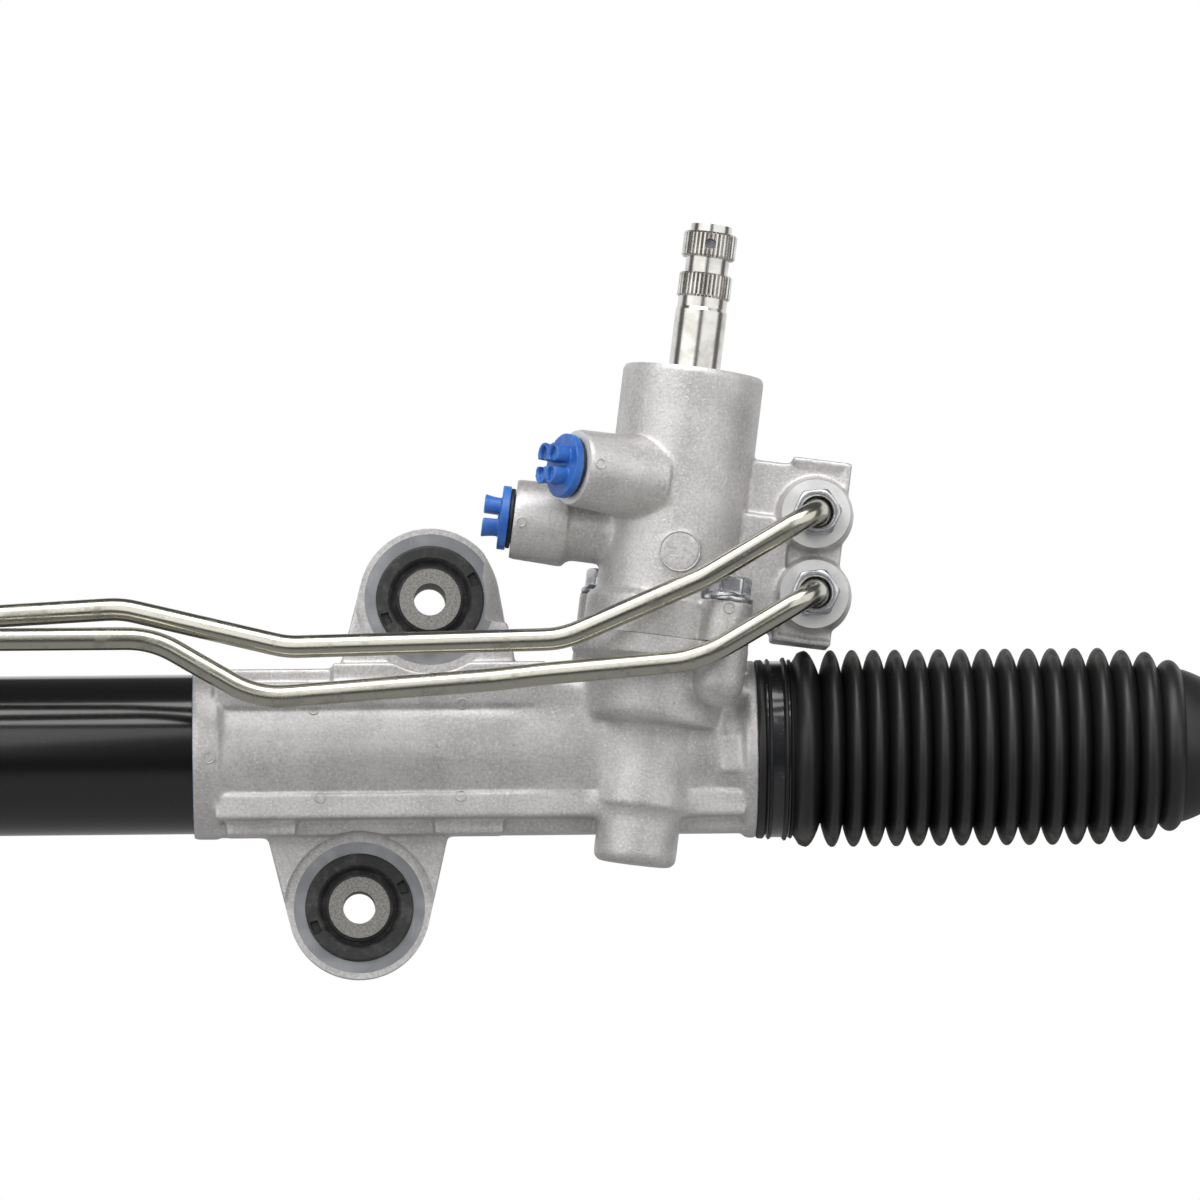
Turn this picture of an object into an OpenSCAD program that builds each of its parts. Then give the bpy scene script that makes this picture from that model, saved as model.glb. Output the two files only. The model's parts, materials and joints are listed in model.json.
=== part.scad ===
// Hydraulic power steering rack: gear housing, valve tower, cylinder tube, bellows and tie rods.
// Millimetres. X runs along the rack, Y points away from the front, Z points up.
// The origin is the centre of the lower mounting hole, on the back face of its sleeve.

/* [Layout] */
// Distance from the mounting face to the rack axis
rack_depth = 28; // [27:0.5:34]
// Height of the rack axis over the lower mounting hole
rack_height = 49.5; // [47:0.5:54]
// Middle of the whole rack, halfway between the bellows seats
centre_x = -136.3; // [-150:0.1:-125]
// Travel of the rack to each side
stroke = 70; // [50:1:70]
// Where the pinion axis crosses the rack
pinion_x = 92.1; // [90:0.1:94]
// Lean of the pinion and valve tower
tower_tilt = 7.6; // [0:0.1:8]

/* [Mounting bushes] */
// Upper bush to the right of the lower one
upper_mount_x = 23.4; // [18:0.1:26]
// Upper bush above the lower one
upper_mount_z = 98.1; // [97:0.1:103]
// Hole in each sleeve
sleeve_hole_d = 10.3; // [8.5:0.1:12.5]
// Outside of each sleeve
sleeve_d = 19.5; // [16:0.1:22]
// Length of each sleeve
sleeve_length = 34; // [32:0.5:40]
// Outside of the rubber
bush_d = 34.5; // [32:0.1:37]
// Wall of each ear round its rubber
ear_wall = 5.5; // [4:0.1:7]
// Thickness of each ear
ear_thickness = 26; // [22:0.5:28]
// How far each sleeve stands behind its ear
sleeve_step = 6; // [4:0.5:8]
// How far the rubber stands proud of the ear
rubber_proud = 1; // [0.5:0.1:2]
// Radius of the machined seat round each ear
spotface_r = 24; // [23.5:0.1:26]

/* [Gear housing] */
// Joint between tube and housing
housing_left = -52.3; // [-60:0.1:-48]
// Seat of the right bellows lip
housing_right = 126.9; // [124:0.1:132]
// Barrel diameter
barrel_d = 50; // [46:0.1:52]
// Diameter of the left collar
collar_d = 54.6; // [52:0.1:56]
// Diameter of the right collar
right_collar_d = 56.6; // [55:0.1:57]
// Width of the left collar
collar_width = 8.8; // [8:0.1:14]
// Height of the parting rib above and below the rack axis
rib_height = 26.5; // [25:0.1:28]
// Half width of the parting rib
rib_half = 12; // [8:0.5:14]
// Upper edge of the side rails from the axis
rail_top = 21.6; // [19:0.1:23]
// Lower edge of the side rails from the axis
rail_bottom = 14.1; // [12:0.1:16]
// How far the rails stand out from the axis
rail_reach = 22.4; // [21.5:0.1:24]
// Bore that the rack runs through
rack_bore_d = 31; // [29:0.5:33]
// Wall behind each machined bore
end_wall = 4.6; // [3:0.1:6]
// Yoke boss diameter
yoke_boss_d = 42; // [40:0.5:46]
// Yoke boss reach behind the rack axis
yoke_boss_reach = 37; // [34:0.5:42]

/* [Valve tower] */
// Seam between gear housing and valve housing along the pinion
seam_s = 34.7; // [33:0.1:38]
// Top rim of the valve housing along the pinion
tower_top = 120.8; // [120:0.1:126]
// Tower diameter
tower_d = 45; // [44:0.5:48]
// Flange of the valve housing
valve_flange_d = 50.4; // [49:0.1:53]
// Height of that flange
valve_flange_h = 13.4; // [10:0.1:14]
// Collar of the gear housing under the seam
seam_collar_d = 56; // [54:0.1:58]
// Flange bolt to the right of the pinion axis
bolt_t = 19; // [18:0.1:21]
// Flange bolt in front of the pinion axis
bolt_d = 22; // [21:0.1:22.5]
// Radius of each bolt lug
lug_r = 8; // [8:0.1:9]
// Lower end of the bolt lugs along the pinion
lug_bottom = 14.5; // [12:0.5:20]
// Wall under the lower pinion bearing
boss_wall = 8.2; // [4:0.1:10]
// Bottom boss diameter
bottom_boss_d = 26.3; // [24:0.1:29]

/* [Hose ports] */
// Upper port height along the pinion
upper_port_s = 84; // [82:0.1:88]
// Upper port face from the tower axis, to the left
upper_port_t = 34.9; // [33:0.1:40]
// Upper port face in front of the tower axis
upper_port_d = 25; // [24:0.1:27]
// Turn of the upper port toward the front
upper_port_turn = 27; // [24:0.5:30]
// Upper port boss diameter
upper_boss_d = 24.3; // [23:0.1:26]
// Lower port height along the pinion
lower_port_s = 67.2; // [66:0.1:70]
// Lower port face from the tower axis
lower_port_t = 51.4; // [50:0.1:56]
// Lower port boss diameter
lower_boss_d = 25.3; // [24:0.1:26]
// Threaded hose bore of both ports
port_bore_d = 16; // [14:0.5:17]
// Depth of the hose bores
port_bore_depth = 13; // [12:0.5:15]
// Flange of each port plug
plug_flange_d = 20.4; // [19:0.1:22]
// Thickness of the plug flange
plug_flange_h = 2.7; // [2:0.1:3.5]
// Clover hub of each plug
plug_hub_d = 14.3; // [12:0.1:16]
// Height of the clover hub
plug_hub_h = 5.4; // [4.5:0.1:7]
// Slot through the clover hub
plug_slot = 1.9; // [1.2:0.1:2.4]

/* [Pipe wing] */
// Right face of the wing from the tower axis
wing_right = 53.4; // [53:0.1:57]
// Lower face of the wing along the pinion
wing_bottom = 38.6; // [38:0.1:44]
// Upper face of the wing along the pinion
wing_top = 97.6; // [96:0.1:100]
// Front face of the wing in front of the tower axis
wing_front = 6; // [4:0.5:8]
// Back face of the wing behind the tower axis
wing_back = 14; // [11:0.5:16]
// Nut face in front of the tower axis
nut_face = 14; // [13:0.1:16]
// Nut boss diameter
nut_boss_d = 21.6; // [20:0.1:22.5]
// Upper pipe nut from the tower axis
upper_nut_t = 43.5; // [42.5:0.1:44.5]
// Upper pipe nut along the pinion
upper_nut_s = 79.8; // [79:0.1:82]
// Lower pipe nut from the tower axis
lower_nut_t = 46; // [45:0.1:47]
// Lower pipe nut along the pinion
lower_nut_s = 54.4; // [53:0.1:56]

/* [Pipes] */
// Pipe outside diameter
pipe_d = 7.2; // [6:0.1:8]
// Bend radius in the long runs
pipe_bend = 30; // [20:1:36]
// Bend radius at the nuts
nut_bend = 11; // [8:0.5:12]
// Width of the pipe nuts across flats
nut_af = 14; // [12:0.5:15]
// Length of the pipe nuts outside their ports
nut_length = 8.4; // [6:0.1:9]
// Pipe line from the rack axis along the tube
pipe_line_r = 53.9; // [52:0.1:56]
// Near cylinder port
near_port_x = -150; // [-155:1:-145]
// Far cylinder port
far_port_x = -368; // [-370:1:-364]
// Turn of the far port from straight up to the front
far_port_turn = 36; // [34:0.1:38]
// Turn of the near port from straight up to the front
near_port_turn = 49.5; // [48:0.1:51]

/* [Cylinder] */
// Tube outside diameter
tube_d = 51; // [49:0.5:52]
// Tube wall
tube_wall = 3; // [2:0.1:3.5]
// Swaged end inside the gear housing, diameter
swage_d = 40; // [38:0.1:40]
// Length of the swaged end
swage_length = 28; // [20:1:32]
// Height of the brazed port bosses over the tube
port_boss_h = 9; // [6:0.5:10]
// Middle of the tube cushion
cushion_x = -330; // [-335:1:-300]
// Width of the tube cushion
cushion_width = 36; // [28:1:38]
// Rubber wall of the tube cushion
cushion_wall = 6; // [4:0.5:7]
// Piston position at rest
piston_x = -257; // [-260:1:-254]
// Piston width
piston_width = 14; // [10:0.5:16]
// Inner seal position, right face of its retainer
inner_seal_x = -112; // [-114:1:-108]

/* [Rack and pinion] */
// Rack bar diameter
rack_d = 26; // [25:0.5:27]
// Half the length of the rack bar
rack_half = 348.8; // [347:0.1:356]
// Normal module of the teeth
module_n = 2; // [1.9:0.05:2]
// Number of pinion teeth
pinion_teeth = 7; // [6:1:7]
// Normal pressure angle
pressure_angle = 20; // [18:0.5:22]
// Helix angle of the pinion
helix_angle = 20; // [12:1:24]
// Profile shift of the pinion, in modules
profile_shift = 0.55; // [0.5:0.01:0.6]
// Reference line of the rack teeth from the bar axis
rack_reference = 7; // [6.6:0.1:7.4]
// Length of the pinion teeth
pinion_length = 34; // [28:1:35]
// Rack teeth beyond the travel to each side
tooth_margin = 20; // [16:1:22]

/* [Steering shaft] */
// Plain shaft diameter above the seal
shaft_d = 16.5; // [15:0.1:17]
// Diameter over the splines
spline_d = 17.3; // [16.8:0.1:18]
// Number of splines
spline_teeth = 40; // [36:1:42]
// Top of the shaft along the pinion
shaft_top = 168; // [167:0.1:174]
// Cross pin diameter
cross_pin_d = 3.3; // [2.5:0.1:4]
// Height of the cross pin along the pinion
cross_pin_s = 161.5; // [160:0.1:164]
// Torsion bar diameter at its ends
torsion_bar_d = 8; // [7:0.1:9]
// Torsion bar diameter between its ends
torsion_waist_d = 6; // [5:0.1:6.5]

/* [Bellows] */
// Length of the seat under each bellows
seat_length = 12.6; // [11:0.1:13]
// Bellows lip diameter
boot_lip_d = 57.4; // [56:0.1:60]
// Crest diameter
crest_d = 63; // [60:0.1:66]
// Valley diameter
valley_d = 49.8; // [46:0.1:52]
// Number of full crests
crests = 16; // [14:1:18]
// Distance from crest to crest
crest_pitch = 7.24; // [6.8:0.01:7.4]
// Bellows wall
boot_wall = 1.2; // [0.8:0.1:1.6]
// Start of the cuff beyond the ball centre
cuff_offset = 56; // [44:1:60]
// Length of the cuff on the tie rod
cuff_length = 12; // [9:0.5:14]

/* [Tie rods] */
// Ball diameter
ball_d = 22; // [21:0.5:23]
// Socket outside diameter
socket_d = 35; // [34:0.5:37]
// Ball centre beyond the rack end
ball_offset = 20; // [19:0.5:22]
// Nylon seat wall
seat_wall = 2.45; // [2:0.05:3]
// Tie rod diameter
rod_d = 15; // [13:0.5:16]
// Neck diameter behind the ball
neck_d = 10; // [8:0.5:10.5]
// Tie rod length from ball centre to tip
rod_length = 205; // [180:1:230]
// Threaded end diameter
thread_d = 14; // [12:0.5:15]
// Threaded end length
thread_length = 60; // [40:1:70]
// Jam nut across flats
jam_nut_af = 22; // [19:0.5:24]
// Swing that the ball joints allow in the seat opening
mouth_angle = 50; // [48:1:54]

/* [Fits] */
// Radial running clearance of shafts, balls and seals
fit = 0.05; // [0.02:0.01:0.1]
// Loose clearance round turning parts
loose = 1; // [0.6:0.1:1.5]
// Gap between a plug ring and its port face
plug_gap = 0.2; // [0.1:0.05:0.4]

/* [Hidden] */
$fn = 96;
eps = 0.01;

// Teeth
pitch_r = module_n * pinion_teeth / (2 * cos(helix_angle));
pinion_front = rack_reference + pitch_r + profile_shift * module_n;
rack_tip = rack_reference + module_n;
rack_root = rack_reference - 1.25 * module_n;
tooth_slant = helix_angle - tower_tilt;
tip_r = pitch_r + 1.275 * module_n;
root_r = pitch_r - 0.7 * module_n;
transverse_angle = atan(tan(pressure_angle) / cos(helix_angle));
base_r = pitch_r * cos(transverse_angle);
normal_pitch = PI * module_n;
tooth_pitch = normal_pitch / cos(tooth_slant);
half_tooth = 90 / pinion_teeth + 2 * profile_shift * tan(pressure_angle) / pinion_teeth * 180 / PI;
backlash = 0.06;
flank_steps = 6;

// Sleeves, rubbers and ears, measured from the rack axis
ear_back = rack_depth - sleeve_step;
ear_front = ear_back - ear_thickness;
ear_r = bush_d / 2 + ear_wall;
sleeve_front = rack_depth - sleeve_length;
rubber_groove = 1.8;
rubber_groove_depth = 2.5;
lower_mount_at = [0, -rack_height];
upper_mount_at = [upper_mount_x, upper_mount_z - rack_height];

// Housing
barrel_r = barrel_d / 2;
collar_r = collar_d / 2;
right_collar_w = 4;
seat_r = 25;
seat_end = housing_right + seat_length;
pinion_bore_r = tip_r + loose;
pinion_wall_r = pinion_bore_r + end_wall;
bearing_bore_r = 17.5;
bearing_w = 10;
bearing_s = 19.4;
oil_seal_s = bearing_s + bearing_w + 0.5;
journal_r = 6;
needle_outer_r = 9;
needle_w = 11;
journal_s = -pinion_length / 2;
journal_bottom = journal_s - loose - needle_w;
bottom_s = journal_bottom - boss_wall;
yoke_bore_r = 16;
bolt_shank_r = 4;
bolt_length = 30;
bolt_flange_h = 1.4;
bolt_seat_s = seam_s + valve_flange_h;

// Valve tower
tower_r = tower_d / 2;
valve_bore_r = 17;
upper_bore_r = 14;
sleeve_valve_s = 47;
sleeve_valve_h = 50;
shoulder_s = sleeve_valve_s + sleeve_valve_h + 3;
shaft_r = shaft_d / 2;
spool_r = 10;
upper_bearing_s = shoulder_s + 1;
upper_bearing_w = 10;
shaft_seal_s = upper_bearing_s + upper_bearing_w + 1;
shaft_seal_w = 5.5;
snap_ring_s = shaft_seal_s + shaft_seal_w;
snap_ring_h = 1.6;
snap_ring_r = upper_bore_r + 1;
spline_r = spline_d / 2;
port_bore_r = port_bore_d / 2;
plug_ring = 1.4;

// Tube and what it holds
tube_r = tube_d / 2;
tube_bore_r = tube_r - tube_wall;
swage_r = swage_d / 2;
rack_r = rack_d / 2;
rack_bore_r = rack_bore_d / 2;
tube_left = 2 * centre_x - seat_end;
stopper_w = 12;
bush_w = 10;
end_seal_w = 8;
rack_bush_x = tube_left + stopper_w;
end_seal_x = rack_bush_x + bush_w;
inner_retainer_w = 8;
inner_seal_w = 8;
wire_r = 1;
tube_ports = [[near_port_x, near_port_turn], [far_port_x, far_port_turn]];
tower_nuts = [[upper_nut_t, upper_nut_s], [lower_nut_t, lower_nut_s]];
nut_thread_r = 6;
nut_thread_h = 6;
oil_way_r = 2.2;
pipe_r = pipe_d / 2;
pipe_sides = 16;
bend_step = 9;

// Bellows: the lip, the first crest and the row of full crests
boot_bore_r = seat_r + 0.1;
first_crest_x = housing_right + 15.8;
crest_x = first_crest_x + 8.4;
last_crest_x = crest_x + (crests - 1) * crest_pitch;
cuff_x = rack_half + centre_x + ball_offset + cuff_offset;
cuff_r = rod_d / 2 + 2.2;
band_x = housing_right + 3;
band_w = 7.2;

// Tie rods
rack_right = centre_x + rack_half;
rack_left = centre_x - rack_half;
ball_x = rack_right + ball_offset;
ball_r = ball_d / 2;
ball_seat_r = ball_r + fit + seat_wall;
washer_w = 1.5;
stud_r = 7;
stud_length = 20;
rod_r = rod_d / 2;
jam_nut_h = 9;
nut_end_x = rod_length - thread_length + jam_nut_h + 6;

// Places a piece in the rack's own axes: X along the bar, Y to the back, Z up
module at_rack() {
    translate([0, -rack_depth, rack_height]) children();
}

// Places a piece in the tower's axes: X to the right, Y to the back, Z up the pinion
module at_tower() {
    translate([pinion_x, -rack_depth - pinion_front, rack_height])
        rotate([0, tower_tilt, 0]) children();
}

// Mirrors a piece of the right end to the left end
module left_end() {
    translate([2 * centre_x, 0, 0]) mirror([1, 0, 0]) children();
}

// Round bar along X
module bar(x0, x1, r) {
    translate([x0, 0, 0]) rotate([0, 90, 0]) cylinder(h = x1 - x0, r = r);
}

// Revolves an outline of [x, radius] points round the X axis
module turned(points) {
    rotate([0, 90, 0]) rotate_extrude() polygon([for (p = points) [p[1], p[0]]]);
}

// Ring along Z
module ring(s, h, outer, inner) {
    translate([0, 0, s]) difference() {
        cylinder(h = h, r = outer);
        translate([0, 0, -1]) cylinder(h = h + 2, r = inner);
    }
}

// Ring along X
module ring_x(x0, x1, outer, inner) {
    difference() {
        bar(x0, x1, outer);
        bar(x0 - 1, x1 + 1, inner);
    }
}

// Round wire ring along Z
module wire_ring(s, centre_r, wire) {
    translate([0, 0, s]) rotate_extrude() translate([centre_r, 0]) circle(r = wire, $fn = 24);
}

// Hexagon prism along Z with flats af apart and turned corners
module hex(h, af) {
    intersection() {
        cylinder(h = h, d = af / cos(30), $fn = 6);
        union() {
            cylinder(h = h - af * 0.06, d = af * 1.13);
            translate([0, 0, h - af * 0.06]) cylinder(h = af * 0.06, d1 = af * 1.13, d2 = af * 0.98);
        }
    }
}

// Upright boss with a rounded lower end
module lug_column(bottom, top) {
    translate([0, 0, bottom + lug_r]) cylinder(h = top - bottom - lug_r, r = lug_r);
    translate([0, 0, bottom + lug_r]) sphere(r = lug_r);
}

// Puts a child at both flange bolts, which lie across from each other
module bolt_places() {
    for (side = [1, -1]) translate([side * bolt_t, -side * bolt_d, 0]) children();
}

// A pipe is one skin swept along straight legs with round bends
function unit(v) = v / norm(v);
function corner_angle(a, b, c) = acos(unit(b - a) * unit(c - b));
function bend_points(a, b, c, r) =
    let (
        turn = corner_angle(a, b, c),
        u = unit(b - a),
        w = unit(cross(u, unit(c - b))),
        v = cross(w, u),
        centre = b - u * r * tan(turn / 2) + v * r,
        steps = ceil(turn / bend_step)
    )
    [for (i = [0:steps]) centre + r * (u * sin(turn * i / steps) - v * cos(turn * i / steps))];
function rounded_path(points, radii) =
    let (last = len(points) - 1)
    concat(
        [points[0]],
        [for (i = [1:last - 1]) each bend_points(points[i - 1], points[i], points[i + 1], radii[i])],
        [points[last]]
    );
function path_tangents(path) =
    let (last = len(path) - 1)
    [for (i = [0:last]) unit(path[min(i + 1, last)] - path[max(i - 1, 0)])];
function across(n, t) = unit(n - (n * t) * t);
function path_normals(tangents, i, n) =
    i == len(tangents) ? []
        : let (here = across(n, tangents[i])) concat([here], path_normals(tangents, i + 1, here));

module bent_pipe(points, radii) {
    path = rounded_path(points, radii);
    tangents = path_tangents(path);
    normals = path_normals(tangents, 0, [1, 0, 0]);
    rings = len(path);
    skin = [for (i = [0:rings - 1], k = [0:pipe_sides - 1])
        let (a = k * 360 / pipe_sides)
        path[i] + pipe_r * (normals[i] * cos(a) + cross(tangents[i], normals[i]) * sin(a))];
    sides = [for (i = [0:rings - 2], k = [0:pipe_sides - 1])
        let (next = (k + 1) % pipe_sides)
        [i * pipe_sides + k, (i + 1) * pipe_sides + k, (i + 1) * pipe_sides + next, i * pipe_sides + next]];
    start = [[for (k = [0:pipe_sides - 1]) k]];
    finish = [[for (k = [pipe_sides - 1:-1:0]) (rings - 1) * pipe_sides + k]];
    polyhedron(points = skin, faces = concat(sides, start, finish), convexity = 6);
}

// Places a piece on a tube port: Z points out of the tube
module at_tube_port(x, turn) {
    at_rack() translate([x, 0, 0]) rotate([turn, 0, 0]) children();
}
function tube_port_point(x, turn, r) =
    [x, -rack_depth - r * sin(turn), rack_height + r * cos(turn)];
function tower_point(t, d, s) = [
    pinion_x + t * cos(tower_tilt) + s * sin(tower_tilt),
    d - rack_depth - pinion_front,
    rack_height - t * sin(tower_tilt) + s * cos(tower_tilt),
];

// Point where a straight flank from p touches the circle of radius r round c
function tangent_point(c, r, p, side) =
    let (d = p - c, a = atan2(d[1], d[0]) + side * acos(r / norm(d)))
    c + r * [cos(a), sin(a)];

// Ear with its straight flanks down to the barrel, seen from the front
module ear(at, left_root, right_root) {
    side = at[1] < 0 ? 1 : -1;
    rotate([90, 0, 0]) translate([0, 0, -ear_back]) linear_extrude(height = ear_thickness) {
        translate(at) circle(r = ear_r);
        polygon([
            at, tangent_point(at, ear_r, left_root, side), left_root,
            right_root, tangent_point(at, ear_r, right_root, -side),
        ]);
    }
}

// Bush hole and machined seat of an ear
module ear_cut(at) {
    translate([at[0], 0, at[1]]) rotate([90, 0, 0]) {
        translate([0, 0, -ear_back - 1]) cylinder(h = ear_thickness + 2, d = bush_d);
        translate([0, 0, -ear_front]) cylinder(h = 40, r = spotface_r);
    }
}

module housing_barrel() {
    turned([
        [housing_left, 0], [housing_left, collar_r - 0.8], [housing_left + 0.8, collar_r],
        [housing_left + collar_width - 1, collar_r], [housing_left + collar_width + 1, barrel_r],
        [housing_right - right_collar_w - 2, barrel_r],
        [housing_right - right_collar_w, right_collar_d / 2 - 0.6],
        [housing_right - right_collar_w + 1, right_collar_d / 2], [housing_right, right_collar_d / 2],
        [housing_right, seat_r], [seat_end - 1, seat_r],
        [seat_end, seat_r - 1], [seat_end, 0],
    ]);
    x0 = housing_left + collar_width - 2;
    x1 = housing_right - right_collar_w;
    for (side = [-1, 1]) {
        translate([x0, -rail_reach, side > 0 ? rail_bottom : -rail_top])
            cube([x1 - x0, 2 * rail_reach, rail_top - rail_bottom]);
    }
    translate([x0, -rib_half, -rib_height]) cube([x1 - x0, 2 * rib_half, 2 * rib_height]);
}

// Pads that join the ear roots to the barrel
module root_pads() {
    pad_depth = 17;
    for (x = [[-42, -20], [24, 46]])
        translate([x[0], -pad_depth, -rib_height]) cube([x[1] - x[0], 2 * pad_depth, 4]);
    translate([-8, -pad_depth, rib_height - 4]) cube([68, 2 * pad_depth, 5.5]);
}

module housing_tower() {
    collar_h = 6.6;
    taper = 3;
    edge_r = 3;
    translate([0, 0, bottom_s + edge_r]) cylinder(h = -bottom_s, d = bottom_boss_d);
    translate([0, 0, bottom_s + edge_r]) rotate_extrude() {
        translate([bottom_boss_d / 2 - edge_r, 0]) circle(r = edge_r, $fn = 32);
        translate([0, -edge_r]) square([bottom_boss_d / 2 - edge_r, edge_r + 1]);
    }
    translate([0, 0, -rack_r - 6]) cylinder(h = seam_s + rack_r + 6, r = pinion_wall_r);
    translate([0, 0, seam_s - collar_h]) cylinder(h = collar_h, d = seam_collar_d);
    translate([0, 0, seam_s - collar_h - taper])
        cylinder(h = taper, r1 = tower_r, d2 = seam_collar_d);
    translate([0, 0, 8]) cylinder(h = seam_s - 9, r = tower_r);
    bolt_places() lug_column(lug_bottom, seam_s);
}

// Cast block beside the right collar, in front
module collar_block() {
    translate([housing_right - 11.4, -rail_reach - 3, -8.2]) cube([8, 10, 12]);
}

module gear_housing() color("silver") difference() {
    union() {
        at_rack() {
            housing_barrel();
            root_pads();
            ear(lower_mount_at, [-29.4, -rib_height + 1], [28.8, -rib_height + 1]);
            ear(upper_mount_at, [-6, rib_height - 1], [51, rib_height - 1]);
            translate([pinion_x, 0, 0]) rotate([-90, 0, 0])
                cylinder(h = yoke_boss_reach, d = yoke_boss_d);
            collar_block();
        }
        at_tower() housing_tower();
    }
    at_rack() {
        bar(housing_left - 1, housing_left + swage_length + 1, swage_r);
        bar(housing_left, seat_end + 1, rack_bore_r);
        ear_cut(lower_mount_at);
        ear_cut(upper_mount_at);
        translate([pinion_x, 0, 0]) rotate([-90, 0, 0])
            cylinder(h = yoke_boss_reach + 1, r = yoke_bore_r);
    }
    at_tower() {
        translate([0, 0, journal_s - loose])
            cylinder(h = bearing_s - journal_s + loose + 1, r = pinion_bore_r);
        translate([0, 0, journal_bottom]) cylinder(h = needle_w + 1, r = needle_outer_r);
        translate([0, 0, bearing_s]) cylinder(h = seam_s, r = bearing_bore_r);
        bolt_places() translate([0, 0, bolt_seat_s - bolt_length - 2]) cylinder(h = 40, r = bolt_shank_r);
        translate([0, 0, seam_s]) cylinder(h = 60, r = 60);
    }
}

// Places a piece on a hose port: Z points out of the port face
module at_upper_port() {
    at_tower() translate([-upper_port_t, -upper_port_d, upper_port_s])
        rotate([0, -90, upper_port_turn]) children();
}

module at_lower_port() {
    at_tower() translate([-lower_port_t, 0, lower_port_s]) rotate([0, -90, 0]) children();
}

module upper_port_body() {
    boss_h = 28.6;
    translate([0, 0, -boss_h]) cylinder(h = boss_h - 0.6, d = upper_boss_d);
    translate([0, 0, -0.6]) cylinder(h = 0.6, d1 = upper_boss_d, d2 = upper_boss_d - 1.2);
    translate([0, 0, -boss_h - 8]) cylinder(h = 9, d = 19.7);
    translate([0, 0, -boss_h - 20]) cylinder(h = 12, d1 = 12, d2 = 17);
}

module lower_port_body() {
    boss_h = 17;
    translate([0, 0, -boss_h]) cylinder(h = boss_h - 0.6, d = lower_boss_d);
    translate([0, 0, -0.6]) cylinder(h = 0.6, d1 = lower_boss_d, d2 = lower_boss_d - 1.2);
    translate([0, 0, -boss_h - 2]) cylinder(h = 2, d1 = 22, d2 = lower_boss_d);
    translate([0, 0, -lower_port_t]) cylinder(h = lower_port_t - boss_h, d = 22);
}

module port_bore(reach) {
    translate([0, 0, -port_bore_depth]) cylinder(h = port_bore_depth + 1, r = port_bore_r);
    translate([0, 0, -reach]) cylinder(h = reach, r = 3);
}

// Wing block that carries the two pipe nuts
module wing_body() {
    translate([34.5, -wing_front, wing_bottom])
        cube([wing_right - 34.5, wing_front + wing_back, wing_top - wing_bottom]);
    translate([0, -wing_front, wing_top - 22]) cube([36, wing_front + wing_back, 19.6]);
    translate([0, -wing_front - 3, wing_bottom + 3]) cube([36, wing_front + wing_back, 36]);
    for (n = tower_nuts)
        translate([n[0], 0, n[1]]) rotate([90, 0, 0]) {
            cylinder(h = nut_face, d = nut_boss_d);
            cylinder(h = nut_face - 1, d1 = nut_boss_d + 4, d2 = nut_boss_d + 1);
        }
}

module nut_bores() {
    for (n = tower_nuts)
        translate([n[0], 0, n[1]]) {
            rotate([90, 0, 0]) cylinder(h = nut_face + 1, r = nut_thread_r);
            rotate([0, -90, 0]) cylinder(h = n[0] - valve_bore_r + 1, r = oil_way_r);
        }
}

module valve_housing() color("silver") difference() {
    union() {
        at_tower() {
            translate([0, 0, seam_s]) cylinder(h = valve_flange_h - 1.5, d = valve_flange_d);
            translate([0, 0, bolt_seat_s - 1.5])
                cylinder(h = 1.5, d1 = valve_flange_d, d2 = valve_flange_d - 3);
            translate([0, 0, seam_s]) cylinder(h = tower_top - seam_s - 1, r = tower_r);
            translate([0, 0, tower_top - 1]) cylinder(h = 1, r1 = tower_r, r2 = tower_r - 1);
            bolt_places() translate([0, 0, seam_s]) cylinder(h = valve_flange_h, r = lug_r);
            translate([1.8, 0, 62]) rotate([90, 0, 0]) cylinder(h = tower_r + 0.3, r = 6.3);
            wing_body();
        }
        at_upper_port() upper_port_body();
        at_lower_port() lower_port_body();
    }
    at_tower() {
        translate([0, 0, seam_s - 1]) cylinder(h = shoulder_s - seam_s + 1, r = valve_bore_r);
        translate([0, 0, shoulder_s - 1]) cylinder(h = tower_top - shoulder_s + 2, r = upper_bore_r);
        translate([0, 0, snap_ring_s]) cylinder(h = snap_ring_h, r = snap_ring_r);
        ring(seam_s - 1, 2.6, 20.6, 18.4);
        bolt_places() translate([0, 0, seam_s - 1]) cylinder(h = 30, r = bolt_shank_r + 0.3);
        bolt_places() translate([0, 0, bolt_seat_s]) cylinder(h = 9, r = lug_r);
        nut_bores();
    }
    at_upper_port() port_bore(upper_port_t - 10);
    at_lower_port() port_bore(lower_port_t - 10);
}

module valve_housing_bolts() color("gainsboro") at_tower() bolt_places() {
    translate([0, 0, bolt_seat_s - bolt_length]) cylinder(h = bolt_length, r = bolt_shank_r);
    translate([0, 0, bolt_seat_s]) cylinder(h = bolt_flange_h, r = lug_r - 0.2);
    translate([0, 0, bolt_seat_s + bolt_flange_h]) cylinder(h = 1, r1 = lug_r - 0.4, r2 = 6.4);
    translate([0, 0, bolt_seat_s + bolt_flange_h]) hex(6.6, 12);
}

module valve_housing_o_ring() color("dimgray") at_tower() wire_ring(seam_s + 0.8, 19.5, 0.8);

// Groove of the wire ring that holds the stopper
module stopper_wire() {
    translate([tube_left + 5, 0, 0]) rotate([0, 90, 0]) wire_ring(0, tube_bore_r, wire_r);
}

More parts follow.
